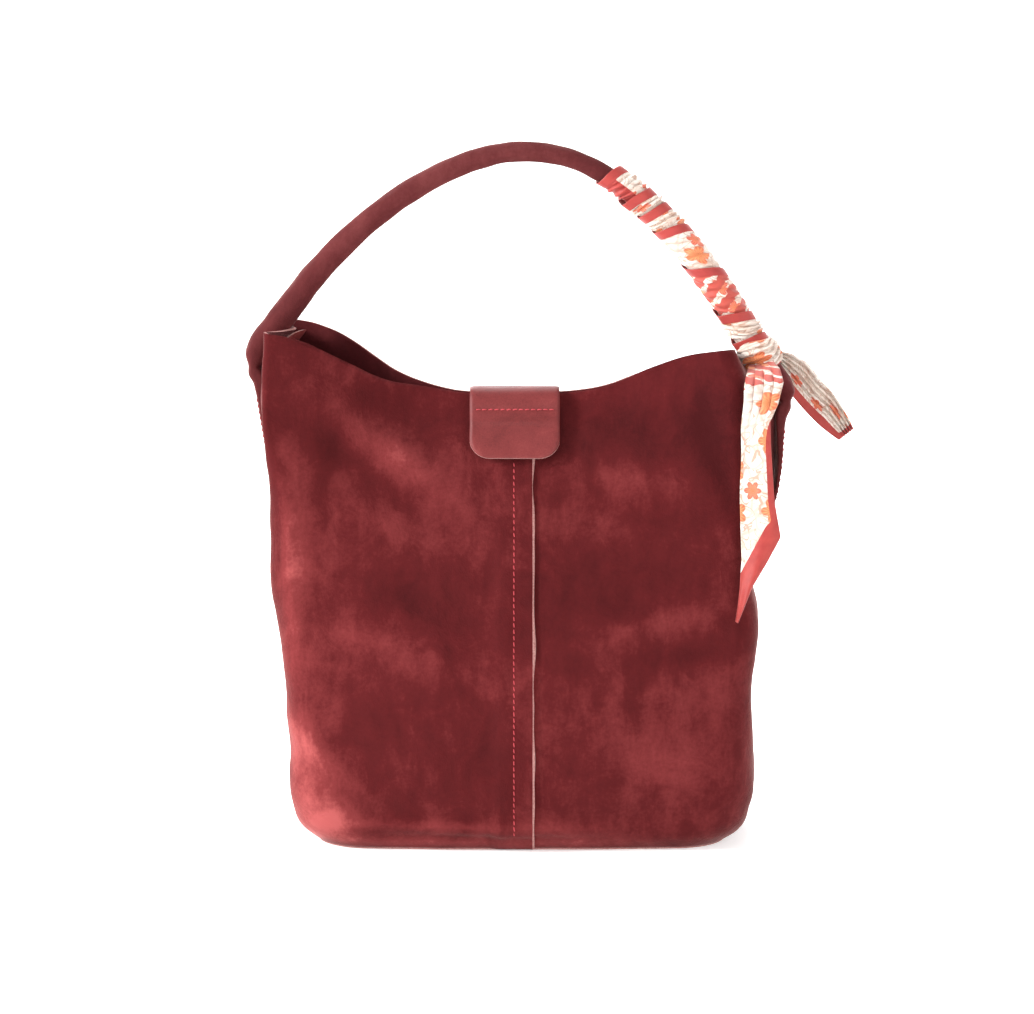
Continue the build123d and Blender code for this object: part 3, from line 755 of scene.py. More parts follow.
def wear_and_painted_light(points):
    """Painted light and shade on the nap at each point: fold ridges paler from wear and a painted highlight,
    valleys darker from painted shade, and a few broad patches of painted light and shade.
    """
    x, y, z = np.moveaxis(points, -1, 0)
    front = np.clip(-y / FACE_FADE, 0, 1)
    amount = np.zeros_like(x)
    # fold ridges paled by wear and a painted highlight, valleys darkened as painted shade
    add_folds(amount, x, z, FRONT_FOLDS, front, 0.8, 0.28)
    add_folds(amount, x, z, BACK_FOLDS, 1 - front, 0.8, 0.28)
    # broad patches of painted light and painted shade
    for middle_x, middle_z, half_width, half_height, strength in PAINTED_LIGHT_AND_SHADE_PATCHES:
        away = ((x - middle_x) / half_width)**2 + ((z - middle_z) / half_height)**2
        amount += strength * np.exp(-away) * (0.45 + 0.55 * front)
    return amount


def add_wear_and_painted_light(piece, outer):
    """Store the amount of wear and painted light and shade on a sheet's points, outside and inside."""
    values = wear_and_painted_light(outer).ravel()
    layer = piece.data.attributes.new("wear_and_painted_light", "FLOAT", "POINT")
    layer.data.foreach_set("value", np.concatenate([values, values * 0]))


ROWS = 118
FOOT_ROWS = 14  # of them close together where the wall turns in at the bottom
FOOT_SHARE = 0.09
FLOOR_GAP = 0.1


def body_grid():
    """The outer face of the whole body: rows from the base to the rim, columns round it."""
    shares = np.concatenate([np.linspace(0, FOOT_SHARE, FOOT_ROWS)[:-1],
                             np.linspace(FOOT_SHARE, 1, ROWS - FOOT_ROWS + 1)])
    heights = np.arange(0, 366, 3.0)
    levels = np.array([outline(level) for level in heights])
    columns = levels.shape[1]
    grid = np.empty((len(shares), columns, 3))
    for j in range(columns):
        top = 350.0
        for _ in range(6):
            top = float(rim_height(*read_table(top, heights, *levels[:, j].T)))
        z = shares * top
        grid[:, j] = np.stack([*read_table(z, heights, *levels[:, j].T), z], axis=1)
    return grid


FRONT_SEAM = ARC_STEPS * 2 + LONG_RUN  # first column of the front seam's straight run
BACK_SEAM = ARC_STEPS * 7 + LONG_RUN * 3 + SHORT_RUN * 2 + len(SEAM_XS)


def seam_column(x, front):
    """The column that lies at a given X of a seam's straight run."""
    place = int(np.argmin(np.abs(SEAM_XS - x)))
    return FRONT_SEAM + place if front else BACK_SEAM + len(SEAM_XS) - 1 - place


STITCH_PINCH = 0.55  # the row of stitches draws the lap in
LAP_LOOSE_X = 4.0  # from here to its edge the lap stands a little free
LAP_LOOSE_LIFT = 0.5
LAP_CHAMFER = 0.7
LAP_WAVE = 1.6  # how far the cut edge strays from a straight line


def make_body(suede, inside, edge):
    """The two halves of the body, lapped on the front and the back."""
    smooth = body_grid()
    shaped = smooth + closed_normals(smooth) * relief(smooth)[..., None]
    shaped[..., 2] = np.maximum(shaped[..., 2], FLOOR_GAP)
    normals = closed_normals(shaped)

    right = np.arange(seam_column(UNDERLAP_EDGE_X, True), seam_column(UNDERLAP_EDGE_X, False) + 1)
    outer = shaped[:, right]
    panel = sheet_mesh("right_panel_suede", outer, outer - normals[:, right] * SUEDE,
                       (suede, inside, edge))
    add_wear_and_painted_light(panel, outer)
    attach(panel, "bag")
    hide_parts("right_panel")

    left = np.concatenate([np.arange(seam_column(LAP_EDGE_X, False), shaped.shape[1]),
                           np.arange(0, seam_column(LAP_EDGE_X, True) + 1)])
    outer = shaped[:, left].copy()
    normal = normals[:, left]
    outer += normal * lap_lift(outer[..., 0])[..., None]
    outer[..., 2] = np.maximum(outer[..., 2], FLOOR_GAP)
    for column, seed in ((-1, 1), (0, 2)):
        outer[:, column, 0] += [LAP_WAVE * noise.noise((z / 26, seed * 9.1, 0)) for z in outer[:, column, 2]]
    inner = outer - normal * SUEDE
    for column in (-1, 0):
        outer[:, column] -= normal[:, column] * LAP_CHAMFER
    panel = sheet_mesh("left_panel_suede", outer, inner, (suede, inside, edge))
    mark_chamfer(panel, *outer.shape[:2])
    add_wear_and_painted_light(panel, outer)
    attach(panel, "bag")
    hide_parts("left_panel")
    return {"outer": outer, "normal": normal, "columns": left, "surface": shaped}


def lap_lift(x):
    """How far the left half is lifted by the lap at each end of its columns, by X."""
    near_seam = np.zeros(x.shape[1])
    lap_columns = seam_column(LAP_EDGE_X, True) - FRONT_SEAM + 1
    near_seam[:lap_columns] = 1
    near_seam[-lap_columns:] = 1
    rise = ease(x, LAP_ROOT_X, UNDERLAP_EDGE_X)
    pinch = np.exp(-((x - SEAM_STITCH_X) / 1.6)**2)
    loose = np.clip((x - LAP_LOOSE_X) / (LAP_EDGE_X - LAP_LOOSE_X), 0, 1)
    return (LAP_LIFT * rise - STITCH_PINCH * pinch + LAP_LOOSE_LIFT * loose * loose) * near_seam


def mark_chamfer(panel, rows, columns):
    """Give the outermost strip at both cut edges of the lap the edge's material."""
    kinds = np.empty(len(panel.data.polygons), dtype=np.int32)
    panel.data.polygons.foreach_get("material_index", kinds)
    per_row = 2 * columns
    for first in range(0, (rows - 1) * per_row, per_row):
        kinds[[first, first + per_row - 4]] = 2
    panel.data.polygons.foreach_set("material_index", kinds)


def make_base(suede, edge):
    """The bottom of the bag: a flat panel with a slight sag between its corners."""
    ring = outline(2.0)
    middle = ring.mean(axis=0)
    loop = np.concatenate([ring, ring[:1]])
    steps = np.linspace(0.02, 0.985, 26)
    grid = np.empty((len(steps), len(loop), 3))
    for i, share in enumerate(steps):
        grid[i, :, :2] = middle + (loop - middle) * share
        grid[i, :, 2] = FLOOR_GAP + 0.5 * (1 - share)
    above = grid.copy()
    above[..., 2] += SUEDE
    panel = sheet_mesh("base_suede", grid[::-1], above[::-1], (suede, suede, edge))
    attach(panel, "bag")
    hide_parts("base_panel")


# ---------------------------------------------------------------- rolled handle
HANDLE_LINE = [(-169.6, 243), (-171.4, 256), (-175.8, 280), (-179.2, 301), (-181.9, 315), (-185.4, 328),
               (-179.2, 343), (-165.3, 359.6), (-146, 387), (-120, 414.5), (-87.3, 442),
               (-51.2, 463), (-21.6, 473.2), (5.5, 477.2), (37.4, 472), (66, 457), (91, 437.2),
               (114.6, 412.5), (135.7, 385.7), (153, 358), (163, 342.5), (174, 327), (183.5, 313),
               (187, 303.5), (183.9, 292), (182.3, 278), (181.3, 262), (178.8, 243), (173, 222)]
LEFT_CREASE = 5.0  # places along the line, counted in its points
RIGHT_CREASE = 23.0
STRAP_HALF = 15.0
STRAP_THICK = 1.6
LIP = 1.3  # step where the rolled leather's edge overlaps
CREASE_PINCH = 0.35  # share of its thickness that the roll loses in the crease
# The strap thickens towards the wall as it nears the roll: places along the line, millimetres.
STRAP_SWELL = [(0, 0), (1, 0), (2, 0.5), (3, 1.5), (4, 2.8), (5, 3.4), (23, 3.4), (24, 2.6), (25, 1.2),
               (26, 0.3), (27, 0), (28, 0)]
# How thick the roll is, at places along the line.
ROLL_RADIUS = [(5, 10), (7, 9.3), (9, 8.3), (11, 7.4), (13, 6.5), (15, 6.4), (17, 6.8), (20, 7.4),
               (22.5, 8.6)]
ARCH_START = (5.8, 7.5)  # between these places the smoothing of the arch fades in, and out again
ARCH_END = (20, 21.6)
Roll = namedtuple("Roll", "line outward length place half_width half_thick roundness")


def handle_sections():
    """The handle's middle line, with its normals and the size of the section at each of its points."""
    line, place = catmull(HANDLE_LINE, 12)
    spread = 6
    arch = (ease(place, *ARCH_START) * (1 - ease(place, *ARCH_END)))[:, None]
    for _ in range(3):
        calmer = line.copy()
        shifted = [line[spread + step:len(line) - spread + step] for step in range(-spread, spread + 1)]
        calmer[spread:-spread] = np.mean(shifted, axis=0)
        line = line + (calmer - line) * arch
    outward = path_frame(line)[0]
    round_left = ease(place, LEFT_CREASE - 1.1, LEFT_CREASE + 1.4)
    round_right = 1 - ease(place, RIGHT_CREASE - 1.4, RIGHT_CREASE + 1.1)
    roundness = np.minimum(round_left, round_right)
    radius = np.interp(place, *zip(*ROLL_RADIUS))
    swell = np.interp(place, *zip(*STRAP_SWELL)) * (1 - roundness)
    half_width = STRAP_HALF + (radius - STRAP_HALF) * roundness
    half_thick = STRAP_THICK + (radius - STRAP_THICK) * roundness + swell
    line = line - outward * swell[:, None]
    # the straps' ends are a little narrower, so that their corners are round
    ends = np.minimum(np.arange(len(line)), np.arange(len(line))[::-1])
    half_width = half_width * (1 - 0.16 * np.clip(1 - ends / 4, 0, 1)**2)
    return Roll(line, outward, lengths_along(line), place, half_width, half_thick, roundness)


def handle_grid(roll, angles, lip_angle):
    """Rings of points round the handle, from the left strap's end to the right one's."""
    grid = np.empty((len(roll.line), len(angles), 3))
    for i, (place, roundness) in enumerate(zip(roll.place, roll.roundness)):
        power = 0.42 + 0.58 * roundness
        c = np.sign(np.cos(angles)) * np.abs(np.cos(angles))**power
        s = np.sign(np.sin(angles)) * np.abs(np.sin(angles))**power
        turn = np.mod(angles - lip_angle, 2 * math.pi) / (2 * math.pi)
        lip = LIP * np.clip(turn - 0.72, 0, 1) / 0.28 * roundness
        ripple = np.array([noise.noise((place * 2.3, math.cos(a) * 1.2, math.sin(a) * 1.2)) for a in angles])
        swell = lip + ripple * (0.25 + 0.4 * roundness)
        near = min(abs(place - LEFT_CREASE), abs(place - RIGHT_CREASE))
        thick = roll.half_thick[i] * (1 - CREASE_PINCH * math.exp(-(near / 0.30)**2))
        radial = c * np.clip(thick + swell, 0.8, None)
        grid[i, :, 0] = roll.line[i, 0] + roll.outward[i, 0] * radial
        grid[i, :, 1] = -s * (roll.half_width[i] + swell)
        grid[i, :, 2] = roll.line[i, 1] + roll.outward[i, 1] * radial
    return grid


def make_handle(suede, edge):
    """One piece of suede rolled into a tube, its flat ends sewn to the sides."""
    roll = handle_sections()
    turns = 56
    lip_angle = math.radians(158)
    lip_column = int(round(lip_angle / (2 * math.pi) * turns)) - 1
    grid = handle_grid(roll, np.linspace(0, 2 * math.pi, turns, endpoint=False), lip_angle)
    rows = len(grid)
    faces = tube_faces(rows, turns)
    faces.append(tuple(range(turns))[::-1])
    faces.append(tuple(range((rows - 1) * turns, rows * turns)))
    kinds = np.zeros((rows - 1, turns), dtype=int)
    kinds[roll.roundness[:-1] > 0.2, lip_column] = 1
    kinds = kinds.ravel().tolist() + [1, 1]
    mesh = bpy.data.meshes.new("handle_suede")
    mesh.from_pydata((grid.reshape(-1, 3) * MM).tolist(), [], faces)
    mesh.materials.append(suede)
    mesh.materials.append(edge)
    mesh.polygons.foreach_set("material_index", kinds)
    mesh.polygons.foreach_set("use_smooth", [kind == 0 for kind in kinds])
    handle = place_object("handle_suede", mesh)
    turn_faces_out(mesh)
    joint = next(j for j in frame["joints"] if j["name"] == "handle_swing")
    upward = Vector((0, 1, 0)).cross(Vector(joint["axis"]).normalized())
    if upward.z < 0:
        upward.negate()
    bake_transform(handle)
    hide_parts("handle_cover", "left_handle_tab", "right_handle_tab")


STRANDS = 3
STRAND_RADIUS = 2.0
STRAND_OFFSET = 2.1  # from the cord's middle to a strand's
STRAND_TWIST = 42.0  # length of one turn
CORD_START = 6.1  # places along the handle's line
CORD_END = 20.9


def make_core(cotton):
    """The twisted cotton cord inside the rolled handle."""
    roll = handle_sections()
    keep = (roll.place >= CORD_START) & (roll.place <= CORD_END)
    line = roll.line[keep]
    length = lengths_along(line)
    sides = 10
    deep = np.array([0, 1, 0])
    points = []
    faces = []
    for strand in range(STRANDS):
        faces += rod_faces(len(line), sides, len(points))
        for (x, z), (nx, nz), s in zip(line, roll.outward[keep], length):
            across = np.array([nx, 0, nz])
            twist = 2 * math.pi * (s / STRAND_TWIST + strand / STRANDS)
            middle = np.array([x, 0, z]) + STRAND_OFFSET * (across * math.cos(twist) + deep * math.sin(twist))
            for j in range(sides):
                angle = 2 * math.pi * j / sides
                points.append(middle + STRAND_RADIUS * (across * math.cos(angle) + deep * math.sin(angle)))
    cord = plain_mesh("handle_cord", points, faces, cotton)
    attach(cord, "handle")
    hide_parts("handle_core")


# ---------------------------------------------------------------- thread
STITCH_LENGTH = 3.1
STITCH_PITCH = 4.2
THREAD_RADIUS = 0.42
THREAD_SINK = 0.28  # the ends of a stitch go in this deep
THREAD_RISE = 0.62


def make_stitches(name, spots, body, replaced, thread, seed):
    """Short threads, each given as a point on the leather, its direction and the leather's normal."""
    sides = 6
    rings = 6
    points = []
    faces = []
    for index, (spot, direction, normal) in enumerate(spots):
        spot = np.array(spot, dtype=float)
        normal = np.array(normal, dtype=float) / np.linalg.norm(normal)
        direction = np.array(direction, dtype=float)
        direction -= normal * (direction @ normal)
        direction /= np.linalg.norm(direction)
        side = np.cross(normal, direction)
        lean = 0.14 * noise.noise((index * 1.7, seed, 0.5))
        direction = direction + side * (0.10 + lean)
        faces += rod_faces(rings, sides, len(points))
        for i in range(rings):
            t = i / (rings - 1)
            rise = math.sin(math.pi * t)
            height = THREAD_RISE * rise - THREAD_SINK
            middle = spot + direction * STITCH_LENGTH * (t - 0.5) + normal * height
            for j in range(sides):
                angle = 2 * math.pi * j / sides
                offset = normal * math.cos(angle) + side * math.sin(angle)
                points.append(middle + offset * THREAD_RADIUS * (0.75 + 0.25 * rise))
    stitches = plain_mesh(name, points, faces, thread)
    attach(stitches, body)
    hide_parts(replaced)


SEAM_START = 14  # heights of the rows' ends
SEAM_END = 262


def make_seam_stitches(lap, thread):
    """The rows through the lap on the front and the back."""
    for front, name in ((True, "front_seam"), (False, "back_seam")):
        column = lap["columns"].tolist().index(seam_column(SEAM_STITCH_X, front))
        points = lap["outer"][:, column]
        heights = points[:, 2]
        normals = lap["normal"][:, column]
        spots = []
        for z in np.arange(SEAM_START, SEAM_END, STITCH_PITCH):
            spot = np.array(read_table(z, heights, *points.T))
            below = np.array(read_table(z - 4, heights, *points.T))
            spots.append((spot, spot - below, read_table(z, heights, *normals.T)))
        make_stitches(f"{name}_thread", spots, "bag", f"{name}_stitches", thread, 1 + front)


STRAP_SEWN = 66  # length of each strap that is sewn down
STITCH_INSET = 4  # from the strap's end to the first stitch
STITCH_DEPTH = 0.3  # how far the stitches pull into the strap
STRAP_ROW_Y = STRAP_HALF - 3.6


def strap_spot(roll, s, y, reach, direction=None):
    """A stitch on a strap, along it if no direction is given; reach is its height over the middle."""
    x, z, nx, nz = read_table(s, roll.length, *roll.line.T, *roll.outward.T)
    return (x + nx * reach, y, z + nz * reach), direction or (-nz, 0, nx), (nx, 0, nz)


def make_strap_stitches(thread):
    """Rows along the edges and across the end of each sewn strap."""
    roll = handle_sections()
    whole = roll.length[-1]
    for name, low, high, last in (("left", 0, STRAP_SEWN, STITCH_INSET),
                                  ("right", whole - STRAP_SEWN, whole, whole - STITCH_INSET)):
        spots = []
        for s in np.arange(low + STITCH_INSET, high - STITCH_INSET + 1, STITCH_PITCH):
            place, roundness = read_table(s, roll.length, roll.place, roll.roundness)
            swell = np.interp(place, *zip(*STRAP_SWELL)) * (1 - roundness)
            for side in (-1, 1):
                spots.append(strap_spot(roll, s, side * STRAP_ROW_Y, STRAP_THICK + swell - STITCH_DEPTH))
        for y in np.arange(-7.5, 8, 3.75):
            spots.append(strap_spot(roll, last, y, STRAP_THICK - STITCH_DEPTH, (0, 1, 0)))
        make_stitches(f"{name}_strap_thread", spots, "bag", f"{name}_handle_tab_stitches", thread, 5)


# ---------------------------------------------------------------- patches inside the sides
PATCH_BOTTOM = 236.0
PATCH_HALF = 12.0
PATCH_THICKNESS = 1.6
PATCH_CURL = 10.0  # the left one's top leans into the bag


def make_inner_patches(lap, leather, edge):
    """Smooth leather sewn inside each side behind the strap, with round ends."""
    surface = lap["surface"]
    count = surface.shape[1]
    right_start = ARC_STEPS * 4 + LONG_RUN * 2 + len(SEAM_XS)
    right_side = np.arange(right_start - 4, right_start + ARC_STEPS + SHORT_RUN * 2 + 4)
    left_side = np.arange(count - SHORT_RUN * 2 - ARC_STEPS - 5, count + 5) % count
    rows = 44
    across = np.linspace(-1, 1, 15)
    for name, columns, top, sign in (("left", left_side, 353.0, 1), ("right", right_side, 320.0, -1)):
        region = surface[:, columns]
        curl = PATCH_CURL if name == "left" else 0
        grid = np.empty((rows, len(across), 3))
        for i in range(rows):
            z = PATCH_BOTTOM + (top - PATCH_BOTTOM) * (0.5 - 0.5 * math.cos(math.pi * i / (rows - 1)))
            to_end = min(z - PATCH_BOTTOM, top - z)
            half = math.sqrt(max(PATCH_HALF**2 - max(PATCH_HALF - to_end, 0)**2, 0.3))
            wall = np.array([read_table(z, column[:, 2], column[:, 0], column[:, 1])
                             for column in np.swapaxes(region, 0, 1)])
            wall = wall[np.argsort(wall[:, 1])]
            leaning = curl * float(ease(z, 326, 350))
            for j, share in enumerate(across):
                y = share * half
                away = SUEDE + 0.5 + leaning * (0.5 + 0.5 * y / PATCH_HALF)
                grid[i, j] = (np.interp(y, wall[:, 1], wall[:, 0]) + sign * away, y, z)
        inner = grid + np.array([sign * PATCH_THICKNESS, 0, 0])
        patch = sheet_mesh(f"{name}_patch", grid, inner, (leather, leather, edge))
        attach(patch, "bag")
        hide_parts(f"{name}_inner_patch")


# ---------------------------------------------------------------- closing tab
TAB_MIDDLE_X = -3.0
TAB_HALF = 31.0
TAB_THICKNESS = 2.2
TAB_CORNER = 14.0
TAB_PATH = [(-36.2, 266.5), (-28.6, 282.5), (-21.5, 297), (-17.5, 306), (-13.2, 311.3), (-7, 312.7),
            (2, 312.5), (8.6, 312.3), (11.9, 310.2), (14.4, 305), (18.4, 297), (25, 283), (34.6, 262.5)]
TAB_ROW_Z = 298.5  # height of the row of stitches on the front, and on the back
ANCHOR_ROW_Z = 285.0
ROW_REACH = 25
LINING_THICKNESS = 1.2
LINING_GAP = 0.25
SNAP_Z = 281.0
SNAP_RADIUS = 9.0
COVER_RADIUS = 17.0


def leather_strip(name, path, half, thickness, corner, materials, wobble):
    """A strip of leather across X that follows a path, with rounded corners at both ends."""
    line = catmull(path, 10)[0]
    outward, length = path_frame(line)
    total = length[-1]
    ends = 0.5 - 0.5 * np.cos(np.linspace(0, math.pi / 2, 12))
    places = np.concatenate([corner * ends[:-1] / ends[-1], np.linspace(corner, total - corner, 70),
                             total - corner * ends[::-1][1:] / ends[-1]])
    across = np.linspace(-1, 1, 25)
    outer = np.empty((len(places), len(across), 3))
    inner = np.empty_like(outer)
    for i, s in enumerate(places):
        to_end = min(s, total - s)
        width = half - corner + math.sqrt(max(corner**2 - max(corner - to_end, 0)**2, 0))
        width += 0.35 * noise.noise((s / 17, 4.1, 0))
        y, z, ny, nz = read_table(s, length, *line.T, *outward.T)
        # a ridge below the lining's edge and a dip along the row of stitches
        ridge = 0.45 * math.exp(-((z - 290.5) / 1.6)**2) * (y < 0) if wobble else 0
        dip = 0.35 * math.exp(-((z - TAB_ROW_Z) / 1.3)**2) if wobble else 0
        for j, share in enumerate(across):
            x = TAB_MIDDLE_X + share * width
            rise = wobble * noise.noise((x / 20, s / 22, 1.9)) + (ridge - dip)
            near_edge = max(0.0, 1 - (1 - abs(share)) * width / 1.2, 1 - to_end / 1.2)
            thick = thickness / 2 * (1 - 0.35 * near_edge)
            above = thick + rise
            below = rise * 0.4 - thick
            outer[i, j] = (x, y + ny * above, z + nz * above)
            inner[i, j] = (x, y + ny * below, z + nz * below)
    return sheet_mesh(name, outer, inner, materials)


def along_tab(z, front, shift):
    """Y, Z and normal of the tab's middle at a height, moved along the normal."""
    line = catmull(TAB_PATH, 10)[0]
    outward = path_frame(line)[0]
    fold = int(np.argmax(line[:, 1]))
    part = slice(0, fold) if front else slice(len(line) - 1, fold, -1)
    y, ny, nz = read_table(z, line[part, 1], line[part, 0], *outward[part].T)
    return y + ny * shift, z + nz * shift, ny, nz


def make_tab(leather, lining, edge, thread, metal):
    """The closing tab, its sewn anchor at the back, its lining, thread and magnetic snap."""
    strip = leather_strip("closing_strap", TAB_PATH, TAB_HALF, TAB_THICKNESS, TAB_CORNER,
                          (leather, leather, edge), 0.5)
    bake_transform(strip)
    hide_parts("closure_tab", "tab_anchor")

    for front, z, name in ((True, TAB_ROW_Z, "tab"), (False, ANCHOR_ROW_Z, "tab_anchor")):
        y, height, ny, nz = along_tab(z, front, TAB_THICKNESS / 2 + 0.15)
        row = np.arange(TAB_MIDDLE_X - ROW_REACH, TAB_MIDDLE_X + ROW_REACH + 1, STITCH_PITCH)
        spots = [((x, y, height), (1, 0, 0), (0, ny, nz)) for x in row]
        make_stitches(f"{name}_thread", spots, "tab" if front else "bag", f"{name}_stitches", thread, 9)

    shift = -(TAB_THICKNESS + LINING_THICKNESS) / 2 - LINING_GAP
    lining_path = [along_tab(z, True, shift)[:2] for z in (270.0, 278, 287, 296.5)]
    piece = leather_strip("tab_lining_suede", lining_path, TAB_HALF - 5, LINING_THICKNESS, 9.0,
                          (lining, lining, edge), 0)
    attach(piece, "tab")
    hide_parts("tab_lining")

    y, z, ny, nz = along_tab(SNAP_Z, True, shift - 0.65)
    wall_y = y - ny * 1.5
    disc("snap_stud_disc", (y, z), (-ny, -nz), SNAP_RADIUS, 1.5, metal, "tab", "snap_stud")
    disc("snap_socket_disc", (wall_y + 2.25, SNAP_Z), (ny, nz), SNAP_RADIUS, 1.6, metal, "bag",
         "snap_socket")
    disc("snap_washer_disc", (wall_y + 8.3, SNAP_Z), (-ny, -nz), SNAP_RADIUS, 0.8, metal, "bag",
         "snap_washer")
    disc("snap_cover", (wall_y + 9.4, SNAP_Z), (-ny, -nz), COVER_RADIUS, 1.2, lining, "bag",
         "snap_cover_patch")


# Share of a disc's radius and of its height, from the middle of its face to its back.
DISC_PROFILE = [(0.35, 0.80), (0.42, 0.86), (0.50, 1.0), (0.90, 1.0), (0.97, 0.9), (1.0, 0.7), (1.0, 0.0)]


def disc(name, centre, normal, radius, height, material, body, replaced):
    """A turned disc with a rounded rim and a shallow dish; centre and normal are in Y and Z."""
    centre = Vector((TAB_MIDDLE_X, *centre))
    normal = Vector((0, *normal)).normalized()
    side = Vector((1, 0, 0))
    up = normal.cross(side)
    turns = 40
    points = []
    for share, level in DISC_PROFILE:
        for j in range(turns):
            angle = 2 * math.pi * j / turns
            spot = centre + (side * math.cos(angle) + up * math.sin(angle)) * radius * share
            points.append(tuple(spot + normal * height * level))
    rings = len(DISC_PROFILE)
    faces = [tuple(range(turns))] + tube_faces(rings, turns)
    faces.append(tuple(range((rings - 1) * turns, rings * turns))[::-1])
    piece = plain_mesh(name, points, faces, material)
    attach(piece, body)
    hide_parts(replaced)


# ---------------------------------------------------------------- scarf
TWILL = 0.35  # thickness of the cloth
SCARF_WIDTH = 50.0
# Where the upper edge of each turn crosses the front, in millimetres along the handle.
WRAP_TURNS = [3, 29, 43, 59, 97, 136, 155, 166]
WRAP_START_X = 57.0
WRAP_FIRST = -0.35  # the winding starts and ends at these turns
WRAP_LAST = len(WRAP_TURNS) - 1.05
WRAP_TUCK = -0.12  # until this turn the scarf's end is tucked under
WRAP_END_SLANT = 0.27  # the scarf's corner is rolled in at the start, so its border is cut at a slant
WRAP_OVERLAP = 9.0  # each turn goes this far under the next
WRAP_HEIGHT = 1.7  # of the lowest turn over the handle
WRAP_PLEAT = 7.2
# Where a turn's edge stands away from the handle, and how far.
LOOPS = ((0.86, 3.4), (4.87, 2.6), (5.84, 3.0))


def cloth_piece(name, middle, across, along, edge_distance, material, facing, close_rows=False):
    """A sheet of twill round a grid of middle points; facing points out of its printed side."""
    if close_rows:
        padded = np.concatenate([middle[-2:], middle, middle[:2]])
        normals = grid_normals(padded)[2:-2]
    else:
        normals = grid_normals(middle)
    if np.sum(normals * facing) < 0:
        normals = -normals
    outer = middle + normals * TWILL / 2
    inner = middle - normals * TWILL / 2
    piece = sheet_mesh(name, outer, inner, (material, material, material), close_rows, (across, along),
                       edge_distance)
    turn_faces_out(piece.data)
    piece.data.polygons.foreach_set("use_smooth", [True] * len(piece.data.polygons))
    return piece


def wound_point(roll):
    """A function of length along the handle, angle round it and height over its suede.

    It gives the point and the direction out of the handle there. Lengths count from where the
    scarf starts.
    """
    top = int(np.argmax(roll.line[:, 1]))
    start = np.interp(WRAP_START_X, roll.line[top:, 0], roll.length[top:])

    def point(along, theta, height):
        x, z, nx, nz, radius = read_table(along + start, roll.length, *roll.line.T, *roll.outward.T,
                                          roll.half_thick)
        out = np.array([nx * math.cos(theta), -math.sin(theta), nz * math.cos(theta)])
        return np.array([x, 0, z]) + out * (radius + height), out
    return point


def make_wrap(material):
    """The scarf wound down the handle, each turn lying on the one above it."""
    point = wound_point(handle_sections())
    turns = np.arange(WRAP_FIRST, WRAP_LAST, 1 / 52)
    flat = np.concatenate([np.linspace(0, SCARF_BORDER, 7), np.linspace(SCARF_BORDER, SCARF_WIDTH, 52)[1:]])
    numbers = np.arange(-1, len(WRAP_TURNS) + 1)
    tops = np.concatenate([[-10], WRAP_TURNS, [178]])
    middle = np.empty((len(turns), len(flat), 3))
    facing = np.empty_like(middle)
    run = np.zeros((len(turns), len(flat)))
    for i, turn in enumerate(turns):
        soft = [np.interp(turn + step, numbers, tops) for step in (-0.2, -0.1, 0, 0.1, 0.2)]
        upper = float(np.mean(soft))
        width = float(np.interp(turn + 1, numbers, tops)) - upper + WRAP_OVERLAP
        tucked = 1 - float(ease(turn, WRAP_FIRST, WRAP_TUCK))
        slack = 1 - (width - SCARF_BORDER) / (SCARF_WIDTH - SCARF_BORDER)
        for j, f in enumerate(flat):
            inner_share = max(f - SCARF_BORDER, 0) / (SCARF_WIDTH - SCARF_BORDER)
            u = upper + min(f, SCARF_BORDER) * 1.05 + inner_share * (width - SCARF_BORDER)
            lift = 1.7 * (1 - (u - upper) / width) + 0.7 * (f < SCARF_BORDER + 0.5)
            covered = float(ease(u - upper, width - 12.5, width - WRAP_OVERLAP))
            depth = (1.5 + 2.9 * slack) * float(ease(f, SCARF_BORDER, 11)) * (1 - covered)
            drift = 1.6 * noise.noise((turn * 2.1, 3.7, 0)) + 0.5 * noise.noise((turn * 7.0, f / 9, 5))
            fold = 0.5 + 0.5 * math.sin(2 * math.pi * (f / WRAP_PLEAT + drift))
            crumple = (1 - covered) * 0.35 * noise.noise((turn * 9.0, f / 5, 2.2)) * (f > SCARF_BORDER)
            bulge = sum(size * math.exp(-((turn - place) / 0.055)**2) for place, size in LOOPS) * (f < 8)
            height = WRAP_HEIGHT + lift + depth * fold * 0.8 + crumple + bulge
            height = height * (1 - tucked) - 0.6 * tucked
            middle[i, j], facing[i, j] = point(u + 0.5 * noise.noise((turn * 5, 0, 1)),
                                               math.pi / 2 - 2 * math.pi * turn, height)
        run[i] = turn * 2 * math.pi * 10.0
    across = np.broadcast_to(flat, run.shape)
    ends = (run - run[0]) * WRAP_END_SLANT + 0.5
    rim = np.minimum(np.minimum(across, SCARF_WIDTH - across), ends)
    wrap = cloth_piece("scarf_wrapping", middle, across, run, rim, material, facing)
    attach(wrap, "handle")
    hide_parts("scarf_wrap")


KNOT_PLACE = 169.0  # along the handle, like the turns
KNOT_HALF = 8.0  # half its length along the handle at the back
KNOT_PLEAT = 7.0
KNOT_RUN = (112, 205)  # the part of the print that the knot shows, along the scarf


